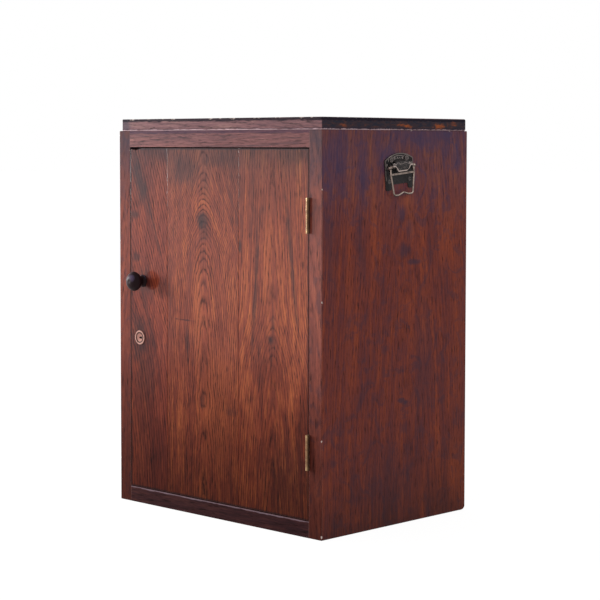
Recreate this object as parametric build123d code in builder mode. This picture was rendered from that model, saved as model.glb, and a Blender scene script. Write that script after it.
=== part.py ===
"""A small one-door teak cabinet with butt hinges, a cylinder lock, a turned knob and two lifting handles.

Millimetres. The origin is the centre of the carcass on the floor; +X is right, +Y is back, +Z is up.
The door is shut, the bolt is drawn back and both bails hang down.
"""

import os

from build123d import *

os.makedirs("parts", exist_ok=True)

# --- Driving dimensions -------------------------------------------------------------------------------

WIDTH = 440.0  # over the side planks
DEPTH = 320.0  # front edge to back edge of a side plank
SIDE_HEIGHT = 582.0  # side planks, floor to the underside of the top boards
PLANK = 25.0  # thickness of a side plank
TOP_THICKNESS = 18.0
BOTTOM_THICKNESS = 24.0
RAIL_HEIGHT = 25.0
RAIL_DEPTH = 42.0
BACK_THICKNESS = 10.0
REBATE_WIDTH = 12.0  # the step in each side plank that takes the back boards
TENON = 8.0  # length of a stub tenon or tongue
SEAM = 0.3  # open joint between two boards that lie edge to edge

DOOR_THICKNESS = 20.0
GAP_SIDE = 1.2
GAP_TOP = 2.0
GAP_BOTTOM = 1.5
DOOR_SEAMS = (-108.0, 50.0)  # where the three door boards meet
BATTEN_HEIGHT = 50.0
BATTEN_THICKNESS = 14.0
BATTEN_HALF_LENGTH = 176.0

SHELF_TOP = 310.0
SHELF_THICKNESS = 18.0
CLEAT = (18.0, 20.0)  # width and height of a shelf cleat
STOP = (12.0, 15.0)  # width and depth of a door stop lath

HINGE_HEIGHT = 50.8  # a two-inch butt hinge
HINGE_LEVELS = {"upper": 460.7, "lower": 123.4}
LEAF_WIDTH = 19.0  # from the pin's axis to the leaf's edge
LEAF_THICKNESS = 1.5
BARREL_RADIUS = 2.5
HINGE_PIN_RADIUS = 1.25
KNUCKLES = 5
RUNNING_CLEARANCE = 0.05  # radial, of anything that turns
SEATED_CLEARANCE = 0.02  # radial, of a pin that stays put

KNOB_X, KNOB_Z = -165.0, 349.5
KNOB_RADIUS = 15.0
KNOB_REACH = 28.0

LOCK_X, LOCK_Z = -172.0, 260.4
LOCK_RIM_RADIUS = 11.0
LOCK_RIM_PROUD = 1.4
LOCK_BARREL_RADIUS = 8.0
PLUG_RADIUS = 5.5
BOLT_THROW = 8.0  # in a quarter turn of the key
CAM_ARM = BOLT_THROW / 2**0.5  # from the plug's axis to the cam's pin

HANDLE_LEVEL = 529.0  # height of a bail's pivot
HANDLE_Y = 1.4
RIGHT_HANDLE_TILT = 5.0  # degrees; the right handle was screwed on a little askew
PIVOT_PROUD = 7.2  # from the plank's face to the pivot's axis

# --- Places worked out from them ----------------------------------------------------------------------

half_width = WIDTH / 2
front, back = -DEPTH / 2, DEPTH / 2
inside_x = half_width - PLANK
inside_back = back - BACK_THICKNESS
total_height = SIDE_HEIGHT + TOP_THICKNESS
rail_bottom = SIDE_HEIGHT - RAIL_HEIGHT

door_left, door_right = -inside_x + GAP_SIDE, inside_x - GAP_SIDE
door_low, door_high = BOTTOM_THICKNESS + GAP_BOTTOM, rail_bottom - GAP_TOP
door_back = front + DOOR_THICKNESS
batten_back = door_back + BATTEN_THICKNESS

pin_x, pin_y = inside_x - GAP_SIDE / 2, front - BARREL_RADIUS - 0.3

FROM_ABOVE = (0, 0, 0)  # rotations that turn a fastener's head from +Z to face each way
FROM_BACK = (-90, 0, 0)
FROM_RIGHT = (0, 90, 0)
FROM_LEFT = (0, -90, 0)


def slab(x0, x1, y0, y1, z0, z1, mode=Mode.ADD):
    """A box between two opposite corners, in the part that is being built."""
    with Locations(((x0 + x1) / 2, (y0 + y1) / 2, (z0 + z1) / 2)):
        Box(abs(x1 - x0), abs(y1 - y0), abs(z1 - z0), mode=mode)


def front_plane(x, y, z):
    """A plane that faces the front, with its own X to the right and its own Y up."""
    return Plane(origin=(x, y, z), x_dir=(1, 0, 0), z_dir=(0, -1, 0))


def keep(builder, name):
    """Label a finished piece and write it to its own STEP file."""
    builder.part.label = name
    export_step(builder.part, f"parts/{name}.step")


# --- Fasteners: made once each with the head up, then set out in groups -------------------------------

SCREW_FLATS = 12  # each small screw's round is drawn with this many flats
SCREW_SLOT_WIDTH, SCREW_SLOT_DEPTH = 0.9, 0.8


def cut_nail(length, shank, head):
    """A square nail with a flat head; its own shape is also its hole."""
    head_height = head / 4
    with BuildPart() as nail:
        with BuildSketch(Plane.XY):
            Rectangle(head, head)
        extrude(amount=-head_height)
        with BuildSketch(Plane.XY.offset(-head_height)):
            Rectangle(shank, shank)
        with BuildSketch(Plane.XY.offset(-length)):
            Rectangle(shank / 3, shank / 3)
        loft()
    return nail.part


def wood_screw(length, shank, head, clearance=0.0):
    """A countersunk screw with a slot; with a clearance it is the hole that the screw sits in."""
    shank_radius, head_radius = shank / 2 + clearance, head / 2 + clearance
    shoulder = shank_radius - head_radius
    point = -length - clearance
    rounds = [(head_radius, 0), (shank_radius, shoulder), (shank_radius, point + shank), (shank / 6, point)]
    with BuildPart() as screw:
        for (radius, height), (next_radius, next_height) in zip(rounds, rounds[1:]):
            with BuildSketch(Plane.XY.offset(height)):
                RegularPolygon(radius, SCREW_FLATS)
            with BuildSketch(Plane.XY.offset(next_height)):
                RegularPolygon(next_radius, SCREW_FLATS)
            loft()
        if not clearance:
            with BuildSketch(Plane.XY):
                Rectangle(head + 1, SCREW_SLOT_WIDTH)
            extrude(amount=-SCREW_SLOT_DEPTH, mode=Mode.SUBTRACT)
    return screw.part


def set_out(shape, rotation, places):
    """Separate copies of one fastener, with their heads turned the same way."""
    with BuildPart() as group:
        with Locations(*[Location(place, rotation) for place in places]):
            add(shape)
    return group


long_nail = cut_nail(length=46, shank=2.8, head=5.6)
short_nail = cut_nail(length=26, shank=2.0, head=4.4)

hinge_screw = wood_screw(length=15, shank=2.8, head=5.2)
hinge_screw_hole = wood_screw(length=15, shank=2.8, head=5.2, clearance=0.05)
small_screw = wood_screw(length=12, shank=2.6, head=5.0)
small_screw_hole = wood_screw(length=12, shank=2.6, head=5.0, clearance=0.05)
handle_screw = wood_screw(length=18, shank=3.0, head=6.0)
handle_screw_hole = wood_screw(length=18, shank=3.0, head=6.0, clearance=0.05)

top_split = -16.0  # where the front and rear top boards meet
top_left, top_right = -half_width + 7.0, half_width - 0.5  # the top has shrunk, most at its left end
plank_middle = inside_x + PLANK / 2
plank_nail_y = (-136, -52, 32, 118)  # down through the top into the side planks
rail_nail_x, rail_nail_y = 75, (-139, 129)  # and into the two rails
top_nail_places = [(side * plank_middle, y, total_height) for side in (-1, 1) for y in plank_nail_y]
top_nail_places += [(side * rail_nail_x, y, total_height) for side in (-1, 1) for y in rail_nail_y]
top_nails = set_out(long_nail, FROM_ABOVE, top_nail_places)
keep(top_nails, "top_nails")

back_edge = inside_x + REBATE_WIDTH - SEAM
back_width = (2 * back_edge - 2 * SEAM) / 3
back_centres = [i * (back_width + SEAM) for i in (-1, 0, 1)]
back_nail_spread, back_nail_inset = 45, 12  # from a board's middle, and from its two ends
back_nail_places = [
    (centre + side * back_nail_spread, back, z)
    for centre in back_centres
    for side in (-1, 1)
    for z in (back_nail_inset, SIDE_HEIGHT - back_nail_inset)
]
back_nails = set_out(short_nail, FROM_BACK, back_nail_places)
keep(back_nails, "back_nails")

# --- Butt hinges --------------------------------------------------------------------------------------

knuckle_gap = 0.3
knuckle_length = (HINGE_HEIGHT - (KNUCKLES - 1) * knuckle_gap) / KNUCKLES
leaf_inner_y = pin_y + BARREL_RADIUS + 0.4
leaf_outer_y = pin_y + LEAF_WIDTH
leaf_face = 0.2  # from the pin's axis to a leaf's face when the hinge is shut
screw_steps = ((-17, 5.0), (0, 9.8), (17, 5.0))  # height, and distance in from the leaf's outer edge


def leaf_screw_places(side, level):
    """Heads flush with the leaf's face; side is +1 for the frame's leaf and -1 for the door's."""
    return [(pin_x + side * leaf_face, leaf_outer_y - inset, level + dz) for dz, inset in screw_steps]


def hinge_leaf(side, level, own_knuckles, bore_radius, holes):
    """One leaf with its knuckles, which are joined to it by short webs and bored for the pin."""
    inner_x, outer_x = pin_x + side * leaf_face, pin_x + side * (leaf_face + LEAF_THICKNESS)
    low = level - HINGE_HEIGHT / 2
    with BuildPart() as leaf:
        slab(inner_x, outer_x, leaf_inner_y, leaf_outer_y, low, low + HINGE_HEIGHT)
        for knuckle in own_knuckles:
            knuckle_low = low + knuckle * (knuckle_length + knuckle_gap)
            slab(inner_x, outer_x, pin_y, leaf_inner_y, knuckle_low, knuckle_low + knuckle_length)
            with Locations((pin_x, pin_y, knuckle_low + knuckle_length / 2)):
                Cylinder(BARREL_RADIUS, knuckle_length)
        with Locations((pin_x, pin_y, level)):
            Cylinder(bore_radius, HINGE_HEIGHT + 2, mode=Mode.SUBTRACT)
        add(holes, mode=Mode.SUBTRACT)
    return leaf


frame_screw_places = [p for level in HINGE_LEVELS.values() for p in leaf_screw_places(1, level)]
door_screw_places = [p for level in HINGE_LEVELS.values() for p in leaf_screw_places(-1, level)]
hinge_frame_screws = set_out(hinge_screw, FROM_LEFT, frame_screw_places)
hinge_frame_holes = set_out(hinge_screw_hole, FROM_LEFT, frame_screw_places)
hinge_door_screws = set_out(hinge_screw, FROM_RIGHT, door_screw_places)
hinge_door_holes = set_out(hinge_screw_hole, FROM_RIGHT, door_screw_places)
keep(hinge_frame_screws, "hinge_frame_screws")
keep(hinge_door_screws, "hinge_door_screws")

for name, level in HINGE_LEVELS.items():
    frame_leaf = hinge_leaf(1, level, (0, 2, 4), HINGE_PIN_RADIUS + SEATED_CLEARANCE, hinge_frame_holes)
    keep(frame_leaf, f"hinge_{name}_frame_leaf")
    door_leaf = hinge_leaf(-1, level, (1, 3), HINGE_PIN_RADIUS + RUNNING_CLEARANCE, hinge_door_holes)
    keep(door_leaf, f"hinge_{name}_door_leaf")
    with BuildPart() as hinge_pin:
        with Locations((pin_x, pin_y, level)):
            Cylinder(HINGE_PIN_RADIUS, HINGE_HEIGHT)
    keep(hinge_pin, f"hinge_{name}_pin")

# --- Lock: cylinder and plug in the door, case and bolt behind it, strike in the side plank -----------

bolt_z = LOCK_Z - 2.0
bolt_front, bolt_back = door_back + 2.7, door_back + 7.7
bolt_end = door_left + 1.4  # the drawn bolt stays inside the door's edge
bolt_half_height = 6.0
bolt_tail = (bolt_end + 11.0, LOCK_X + 9.0)  # the wider plate that the cam's pin works in
bolt_tail_half = 10.0
cam_pin_radius = 1.25
cam_pin_slack = 0.4
slide_gap = 0.3
bolt_chamfer = 0.8

case_wall = 1.5
case_edge_inset = 1.2  # from the door's edge to the case
case_left, case_right = door_left + case_edge_inset, LOCK_X + 15.5
case_low, case_high = bolt_z - bolt_tail_half - slide_gap, bolt_z + bolt_tail_half + slide_gap
case_inner_back = bolt_back + 1.3
case_flange = 8.0
case_screw_inset = 7.0
case_screw_places = [
    (x, door_back + case_wall, z)
    for x in (case_left + case_screw_inset, case_right - case_screw_inset)
    for z in (case_low - case_wall - case_flange / 2, case_high + case_wall + case_flange / 2)
]
lock_case_screws = set_out(small_screw, FROM_BACK, case_screw_places)
lock_case_holes = set_out(small_screw_hole, FROM_BACK, case_screw_places)
keep(lock_case_screws, "lock_case_screws")

rim_front = front - LOCK_RIM_PROUD
plug_head_radius, plug_head_back = PLUG_RADIUS + 1.0, front
rim_width, rim_recess = 2.2, 0.9  # the raised ring, and how far the face inside it lies back
with BuildPart() as lock_cylinder:
    with BuildSketch(front_plane(LOCK_X, front, LOCK_Z)):
        Circle(LOCK_RIM_RADIUS)
    extrude(amount=LOCK_RIM_PROUD)
    with BuildSketch(front_plane(LOCK_X, rim_front, LOCK_Z)):
        Circle(LOCK_RIM_RADIUS - rim_width)
    extrude(amount=-rim_recess, mode=Mode.SUBTRACT)
    chamfer(lock_cylinder.edges().group_by(Axis.Y)[0], 0.5)
    with BuildSketch(front_plane(LOCK_X, front, LOCK_Z)):
        Circle(LOCK_BARREL_RADIUS)
    extrude(amount=-DOOR_THICKNESS)
    with BuildSketch(front_plane(LOCK_X, rim_front, LOCK_Z)):
        Circle(plug_head_radius + RUNNING_CLEARANCE)
    extrude(amount=rim_front - plug_head_back, mode=Mode.SUBTRACT)
    with BuildSketch(front_plane(LOCK_X, front, LOCK_Z)):
        Circle(PLUG_RADIUS + RUNNING_CLEARANCE)
    extrude(amount=-DOOR_THICKNESS, mode=Mode.SUBTRACT)
keep(lock_cylinder, "lock_cylinder")

plug_face = rim_front + 0.5  # the plug sits a little behind the rim
cam_front, cam_back = door_back + 0.4, door_back + 2.0
plug_tail = 6.0  # side of the square that carries the cam
key_slot = (6.0, 2.0, 8.0)  # length, width and depth
key_slot_offset = 2.0  # the slot lies to the right of the plug's axis
with BuildPart() as lock_plug:
    with BuildSketch(front_plane(LOCK_X, plug_face, LOCK_Z)):
        Circle(plug_head_radius)
    extrude(amount=plug_face - plug_head_back + RUNNING_CLEARANCE)
    with BuildSketch(front_plane(LOCK_X, plug_face, LOCK_Z)):
        Circle(PLUG_RADIUS)
    extrude(amount=plug_face - cam_front)
    with BuildSketch(front_plane(LOCK_X, cam_front, LOCK_Z)):
        Rectangle(plug_tail, plug_tail)
    extrude(amount=cam_front - cam_back)
    with BuildSketch(front_plane(LOCK_X, plug_face, LOCK_Z)):
        with Locations((key_slot_offset, 0)):
            SlotOverall(key_slot[0], key_slot[1])
    extrude(amount=-key_slot[2], mode=Mode.SUBTRACT)
keep(lock_plug, "lock_plug")

# The cam's pin starts low on the right of the plug and a clockwise quarter turn takes it to the left.
cam_pin_x, cam_pin_z = CAM_ARM / 2**0.5, -CAM_ARM / 2**0.5
with BuildPart() as lock_cam:
    with BuildSketch(front_plane(LOCK_X, cam_front, LOCK_Z)):
        Circle(CAM_ARM + cam_pin_radius + 0.5)
        Rectangle(plug_tail, plug_tail, mode=Mode.SUBTRACT)
    extrude(amount=cam_front - cam_back)
    with BuildSketch(front_plane(LOCK_X, cam_back, LOCK_Z)):
        with Locations((cam_pin_x, cam_pin_z)):
            Circle(cam_pin_radius)
    extrude(amount=cam_back - bolt_back - 0.5)
keep(lock_cam, "lock_cam")

cam_slot_low = -CAM_ARM - cam_pin_radius - cam_pin_slack
cam_slot_high = cam_pin_z + cam_pin_radius + cam_pin_slack
cam_slot_x = LOCK_X + cam_pin_x
with BuildPart() as lock_bolt:
    slab(bolt_end, bolt_tail[0], bolt_front, bolt_back, bolt_z - bolt_half_height, bolt_z + bolt_half_height)
    chamfer(lock_bolt.edges().group_by(Axis.X)[0].filter_by(Axis.Z), bolt_chamfer)
    slab(*bolt_tail, bolt_front, bolt_back, bolt_z - bolt_tail_half, bolt_z + bolt_tail_half)
    slab(
        cam_slot_x - cam_pin_radius - cam_pin_slack,
        cam_slot_x + cam_pin_radius + cam_pin_slack,
        bolt_front,
        bolt_back,
        LOCK_Z + cam_slot_low,
        LOCK_Z + cam_slot_high,
        mode=Mode.SUBTRACT,
    )
keep(lock_bolt, "lock_bolt")

with BuildPart() as lock_case:
    slab(
        case_left,
        case_right,
        door_back,
        case_inner_back + case_wall,
        case_low - case_wall,
        case_high + case_wall,
    )
    chamfer(lock_case.edges().group_by(Axis.Y)[-1], 1.0)
    slab(
        case_left,
        case_right,
        door_back,
        door_back + case_wall,
        case_low - case_wall - case_flange,
        case_high + case_wall + case_flange,
    )
    slab(
        case_left + case_wall,
        case_right - case_wall,
        door_back,
        case_inner_back,
        case_low,
        case_high,
        mode=Mode.SUBTRACT,
    )
    slab(
        case_left,
        case_left + case_wall,
        bolt_front - slide_gap,
        bolt_back + slide_gap,
        bolt_z - bolt_half_height - slide_gap,
        bolt_z + bolt_half_height + slide_gap,
        mode=Mode.SUBTRACT,
    )
    add(lock_case_holes, mode=Mode.SUBTRACT)
keep(lock_case, "lock_case")

strike_thickness = 1.2
strike_half_height = 18.0
strike_front, strike_back = bolt_front - 6.0, bolt_back + 6.0
strike_play = 0.8  # round the bolt, in the strike's window
strike_screw_rise = 13.0
strike_screw_places = [
    (-inside_x, (bolt_front + bolt_back) / 2, bolt_z + dz) for dz in (-strike_screw_rise, strike_screw_rise)
]
strike_screws = set_out(small_screw, FROM_RIGHT, strike_screw_places)
strike_holes = set_out(small_screw_hole, FROM_RIGHT, strike_screw_places)
keep(strike_screws, "strike_screws")

with BuildPart() as strike_plate:
    slab(
        -inside_x - strike_thickness,
        -inside_x,
        strike_front,
        strike_back,
        bolt_z - strike_half_height,
        bolt_z + strike_half_height,
    )
    slab(
        -inside_x - strike_thickness,
        -inside_x,
        bolt_front - strike_play,
        bolt_back + strike_play,
        bolt_z - bolt_half_height - strike_play,
        bolt_z + bolt_half_height + strike_play,
        mode=Mode.SUBTRACT,
    )
    add(strike_holes, mode=Mode.SUBTRACT)
keep(strike_plate, "strike_plate")

# --- Lifting handles: a back plate with a hood, a riveted pin, and a bail of round wire ---------------

plate_half_width, plate_foot, plate_shoulder, plate_crown = 31.0, -33.0, 11.0, 20.0
window_half, window_top = 18.0, -25.0  # the window between the plate's two legs
plate_thickness, plate_corner = 1.0, 3.0
border_width, border_height, border_end = 1.6, 0.8, -18.0  # the raised border stops above the legs
boss_places = [(-16.7, 11.2), (16.7, 11.2)]
foot_screw_places = [(-22.5, -20.0), (22.5, -20.0)]
boss_radius, boss_height, boss_clearance = 4.0, 1.4, 1.2

# The hood is a low dome: it swells over the pin, curls in again below it, and is lower at its ends.
hood_half, hood_top, hood_wall = 21.1, 9.5, 1.2
hood_reach, hood_end_reach = 10.1, 9.2
curl_radius, curl_turn = 10.8, 40.0
lip_ends, lip_middle = 1.2, -6.7  # the hood's lip is high at the ends and dips in the middle
lip_radius, lip_bead, lip_bead_proud = 4.0, 1.6, 0.5  # the lip's bends and the bead along it
lip_points = [
    (-hood_half, lip_ends),
    (-17.5, lip_ends),
    (-9.0, lip_middle),
    (9.0, lip_middle),
    (17.5, lip_ends),
    (hood_half, lip_ends),
]

# The pin runs through two ears in the hood's ends and through the ball-shaped eyes of the bail.
handle_pin_radius = 1.3
ear_thickness, ear_radius = 1.6, 2.6
ear_foot = (-6.0, 5.0)  # where an ear stands on the plate
eye_middle, eye_radius = 26.1, 2.7
eye_face = eye_middle + 2.2  # the ball is filed flat where the pin is riveted over
rivet_radius, rivet_height, rivet_gap = 2.0, 0.9, 0.15

wire_radius = 1.45
wire_top = 25.6  # half the bail's width at its eyes
bail_waist, bail_drop, bail_cusp = -10.0, -40.8, -37.4
apron_top, apron_foot, apron_thickness = -8.4, -11.0, 2.0
bail_points = [
    (-wire_top, -0.5),
    (-wire_top, bail_waist),
    (-20.6, bail_drop),
    (-10.5, bail_drop),
    (0.0, bail_cusp),
    (10.5, bail_drop),
    (20.6, bail_drop),
    (wire_top, bail_waist),
    (wire_top, -0.5),
]
bail_radii = [8.0, 4.5, 8.0, 4.5, 8.0, 4.5, 8.0]


def handle_planes(side, tilt):
    """The plank's face under the pivot, and the upright plane across the pivot, for one side."""
    along = Vector(0, side, 0).rotate(Axis.X, side * tilt)
    face = Plane(origin=(side * half_width, HANDLE_Y, HANDLE_LEVEL), x_dir=along, z_dir=(side, 0, 0))
    across = Plane(origin=face.origin, x_dir=face.z_dir, z_dir=-along)
    return face, across


def handle_screw_group(shape, face):
    """Four screws: two in the bosses beside the hood and two in the plate's foot."""
    boss_face = face.offset(plate_thickness + boss_height)
    foot_face = face.offset(plate_thickness)
    places = [boss_face * Location((x, y, 0)) for x, y in boss_places]
    places += [foot_face * Location((x, y, 0)) for x, y in foot_screw_places]
    with BuildPart() as group:
        with Locations(*places):
            add(shape)
    return group


with BuildSketch() as plate_outline:
    with BuildLine():
        Polyline(
            (-plate_half_width, plate_shoulder),
            (-plate_half_width, plate_foot),
            (-window_half, plate_foot),
            (-window_half, window_top),
            (window_half, window_top),
            (window_half, plate_foot),
            (plate_half_width, plate_foot),
            (plate_half_width, plate_shoulder),
        )
        ThreePointArc(
            (plate_half_width, plate_shoulder), (0, plate_crown), (-plate_half_width, plate_shoulder)
        )
    make_face()
    fillet(plate_outline.vertices().group_by(Axis.Y)[:2], plate_corner)


def hood_form(face, across, inset):
    """The hood's outside, or with an inset the hollow under it, which is open below."""
    reach, turn = hood_reach - inset, curl_turn + (15 if inset > 0 else 0)
    with BuildPart() as form:
        with BuildSketch(across):
            with BuildLine():
                crown = EllipticalCenterArc(
                    (plate_thickness, 0), reach - plate_thickness, hood_top - inset, 0, arc_size=90
                )
                curl = CenterArc((hood_reach - curl_radius, 0), curl_radius - inset, 0, -turn)
                foot_v = (curl @ 1).Y
                Polyline(curl @ 1, (plate_thickness, foot_v), (plate_thickness, hood_top - inset))
            make_face()
        extrude(amount=hood_half, both=True)
        # Seen from above, the dome is lower at its ends.
        with BuildSketch(Plane(origin=across.origin, x_dir=across.z_dir, z_dir=across.y_dir)):
            with BuildLine():
                end_reach = hood_end_reach - inset
                ThreePointArc((-hood_half, end_reach), (0, reach), (hood_half, end_reach))
                Polyline((hood_half, end_reach), (hood_half, 0), (-hood_half, 0), (-hood_half, end_reach))
            make_face()
        extrude(amount=plate_crown, both=True, mode=Mode.INTERSECT)
    return form.part


def lip_band(face, across):
    """The bead along the hood's lip, before the hollow is cut."""
    with BuildPart() as band:
        with BuildSketch(face.offset(plate_thickness)):
            with BuildLine():
                low = FilletPolyline(*lip_points, radius=lip_radius)
                high = FilletPolyline(*[(x, y + lip_bead) for x, y in lip_points], radius=lip_radius)
                Line(low @ 0, high @ 0)
                Line(low @ 1, high @ 1)
            make_face()
        extrude(amount=hood_reach)
        add(hood_form(face, across, -lip_bead_proud), mode=Mode.INTERSECT)
    return band.part


def handle_plate(face, across, holes):
    """A plate with a raised border, a hood over the pivot, two bosses and two ears for the pin."""
    with BuildPart() as plate:
        add(hood_form(face, across, 0))
        # The lip is cut to its wave, and the hood is scooped out round each boss.
        with BuildSketch(face):
            with BuildLine():
                wave = FilletPolyline(*lip_points, radius=lip_radius)
                below = lip_middle - lip_radius
                Polyline(wave @ 1, (hood_half, below), (-hood_half, below), wave @ 0)
            make_face()
            with Locations(*boss_places):
                Circle(boss_radius + boss_clearance)
        extrude(amount=2 * hood_reach, mode=Mode.SUBTRACT)
        add(lip_band(face, across))
        add(hood_form(face, across, hood_wall), mode=Mode.SUBTRACT)
        with BuildSketch(face):
            add(plate_outline)
        extrude(amount=plate_thickness)
        with BuildSketch(face.offset(plate_thickness)):
            add(plate_outline)
            offset(amount=-border_width, mode=Mode.SUBTRACT)
            with Locations((0, border_end + plate_foot)):
                Rectangle(2 * plate_half_width, -2 * plate_foot, mode=Mode.SUBTRACT)
        extrude(amount=border_height)
        with BuildSketch(face.offset(plate_thickness)):
            with Locations(*boss_places):
                Circle(boss_radius)
        extrude(amount=boss_height)
        ear_middle = hood_half - ear_thickness / 2
        for middle in (-ear_middle, ear_middle):
            with BuildSketch(across.offset(middle)):
                with BuildLine():
                    Polyline(
                        (plate_thickness, ear_foot[0]),
                        (PIVOT_PROUD, -ear_radius),
                        (PIVOT_PROUD, ear_radius),
                        (plate_thickness, ear_foot[1]),
                        close=True,
                    )
                make_face()
                with Locations((PIVOT_PROUD, 0)):
                    Circle(ear_radius)
            extrude(amount=ear_thickness / 2, both=True)
        with BuildSketch(across):
            with Locations((PIVOT_PROUD, 0)):
                Circle(handle_pin_radius + SEATED_CLEARANCE)
        extrude(amount=2 * hood_half, both=True, mode=Mode.SUBTRACT)
        add(holes, mode=Mode.SUBTRACT)
    return plate


def handle_pin(across):
    """A plain pin with a riveted head outside each eye."""
    with BuildPart() as pin:
        with BuildSketch(across):
            with Locations((PIVOT_PROUD, 0)):
                Circle(handle_pin_radius)
        extrude(amount=eye_face + rivet_gap, both=True)
        for end in (-1, 1):
            with BuildSketch(across.offset(end * (eye_face + rivet_gap))):
                with Locations((PIVOT_PROUD, 0)):
                    Circle(rivet_radius)
            extrude(amount=end * rivet_height, taper=25)
    return pin


def handle_bail(face, across):
    """A loop of wire with a ball-shaped eye at each end and a flat bar across its top."""
    with BuildPart() as bail:
        with BuildLine(face.offset(PIVOT_PROUD)):
            path = FilletPolyline(*bail_points, radius=bail_radii)
        with BuildSketch(Plane(origin=path @ 0, z_dir=path % 0)):
            Circle(wire_radius)
        sweep()
        with BuildSketch(face.offset(PIVOT_PROUD)):
            with Locations((0, (apron_top + apron_foot) / 2)):
                Rectangle(2 * wire_top, apron_top - apron_foot)
        extrude(amount=apron_thickness / 2, both=True)
        with Locations(*[across * Location((PIVOT_PROUD, 0, end * eye_middle)) for end in (-1, 1)]):
            Sphere(eye_radius)
        # The balls are filed flat at both ends, and bored for the pin.
        for end in (-1, 1):
            with BuildSketch(across.offset(end * eye_face)):
                with Locations((PIVOT_PROUD, 0)):
                    Circle(2 * eye_radius)
            extrude(amount=end * eye_radius, mode=Mode.SUBTRACT)
        with BuildSketch(across):
            with Locations((PIVOT_PROUD, 0)):
                Circle(handle_pin_radius + RUNNING_CLEARANCE)
        extrude(amount=2 * eye_middle, both=True, mode=Mode.SUBTRACT)
    return bail


handle_holes = {}
for name, side, tilt in (("right", 1, RIGHT_HANDLE_TILT), ("left", -1, 0.0)):
    face, across = handle_planes(side, tilt)
    handle_holes[name] = handle_screw_group(handle_screw_hole, face)
    keep(handle_screw_group(handle_screw, face), f"handle_screws_{name}")
    keep(handle_plate(face, across, handle_holes[name]), f"handle_plate_{name}")
    keep(handle_pin(across), f"handle_pin_{name}")
    keep(handle_bail(face, across), f"handle_bail_{name}")

# --- Carcass ------------------------------------------------------------------------------------------

cleat_width, cleat_height = CLEAT
shelf_bottom = SHELF_TOP - SHELF_THICKNESS
shelf_gap = 0.5  # the loose shelf is a little smaller than the space
cleat_chamfer = 6.0
shelf_front = -118.0
cleat_front, cleat_back = -110.0, 140.0
stop_width, stop_depth = STOP
stop_front = door_back + 0.3
lock_clearance = 4.0  # between the lock case and the stop laths
stop_lower_top = case_low - case_wall - case_flange - lock_clearance
stop_upper_foot = case_high + case_wall + case_flange + lock_clearance

cleat_nail_y = (-85.0, 15.0, 115.0)
cleat_nail_z = shelf_bottom - cleat_height / 2
stop_nail_y = stop_front + stop_depth / 2
stop_nail_z = (60.0, 200.0, 320.0, 520.0)
right_lath_nails = [(inside_x - cleat_width, y, cleat_nail_z) for y in cleat_nail_y]
left_lath_nails = [(-inside_x + cleat_width, y, cleat_nail_z) for y in cleat_nail_y]
left_lath_nails += [(-inside_x + stop_width, stop_nail_y, z) for z in stop_nail_z]
with BuildPart() as lath_nails:
    with Locations(*[Location(place, FROM_LEFT) for place in right_lath_nails]):
        add(short_nail)
    with Locations(*[Location(place, FROM_RIGHT) for place in left_lath_nails]):
        add(short_nail)
keep(lath_nails, "lath_nails")

tongue = (7.0, 17.0)  # heights of the bottom boards' tongues
rail_tenon = (rail_bottom + 6.0, rail_bottom + 18.0)
pocket_play = 1.0  # round the bolt, in the plank behind the strike
worn_foot_radius = 9.0
front_rail_y = (front, front + RAIL_DEPTH)
back_rail_y = (inside_back - RAIL_DEPTH, inside_back)
tenon_inset = 10.0

for name, side in (("left", -1), ("right", 1)):
    with BuildPart() as side_plank:
        slab(side * inside_x, side * half_width, front, back, 0, SIDE_HEIGHT)
        # Years on a floor have rounded the foot of the back edge.
        fillet(side_plank.edges().filter_by(Axis.X).sort_by(Axis.Z)[:2].sort_by(Axis.Y)[-1], worn_foot_radius)
        rebate_x = side * (inside_x + REBATE_WIDTH)
        slab(side * inside_x, rebate_x, inside_back, back, 0, SIDE_HEIGHT, mode=Mode.SUBTRACT)
        socket_x = side * (inside_x + TENON)
        slab(side * inside_x, socket_x, front + tenon_inset, inside_back, *tongue, mode=Mode.SUBTRACT)
        for rail_front, rail_back in (front_rail_y, back_rail_y):
            socket_y = (rail_front + tenon_inset, rail_back - tenon_inset)
            slab(side * inside_x, socket_x, *socket_y, *rail_tenon, mode=Mode.SUBTRACT)
        if side > 0:
            mortise_x = pin_x + leaf_face + LEAF_THICKNESS
            for level in HINGE_LEVELS.values():
                mortise_z = (level - HINGE_HEIGHT / 2, level + HINGE_HEIGHT / 2)
                slab(inside_x, mortise_x, front, leaf_outer_y, *mortise_z, mode=Mode.SUBTRACT)
            add(hinge_frame_holes, mode=Mode.SUBTRACT)
        else:
            strike_z = (bolt_z - strike_half_height, bolt_z + strike_half_height)
            strike_x = -inside_x - strike_thickness
            slab(-inside_x, strike_x, strike_front, strike_back, *strike_z, mode=Mode.SUBTRACT)
            pocket_z = (bolt_z - bolt_half_height - pocket_play, bolt_z + bolt_half_height + pocket_play)
            pocket_y = (bolt_front - pocket_play, bolt_back + pocket_play)
            pocket_x = bolt_end - BOLT_THROW - 3 * pocket_play
            slab(-inside_x, pocket_x, *pocket_y, *pocket_z, mode=Mode.SUBTRACT)
            add(strike_holes, mode=Mode.SUBTRACT)
        add(handle_holes[name], mode=Mode.SUBTRACT)
        add(top_nails, mode=Mode.SUBTRACT)
        add(lath_nails, mode=Mode.SUBTRACT)
    keep(side_plank, f"side_{name}")

top_back = back - 2.5  # the top stops just short of the back
for name, y0, y1 in (("front", front, top_split - SEAM / 2), ("rear", top_split + SEAM / 2, top_back)):
    with BuildPart() as top_board:
        slab(top_left, top_right, y0, y1, SIDE_HEIGHT, total_height)
        fillet(top_board.edges().group_by(Axis.Z)[-1], 1.0)
        add(top_nails, mode=Mode.SUBTRACT)
    keep(top_board, f"top_board_{name}")

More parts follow.
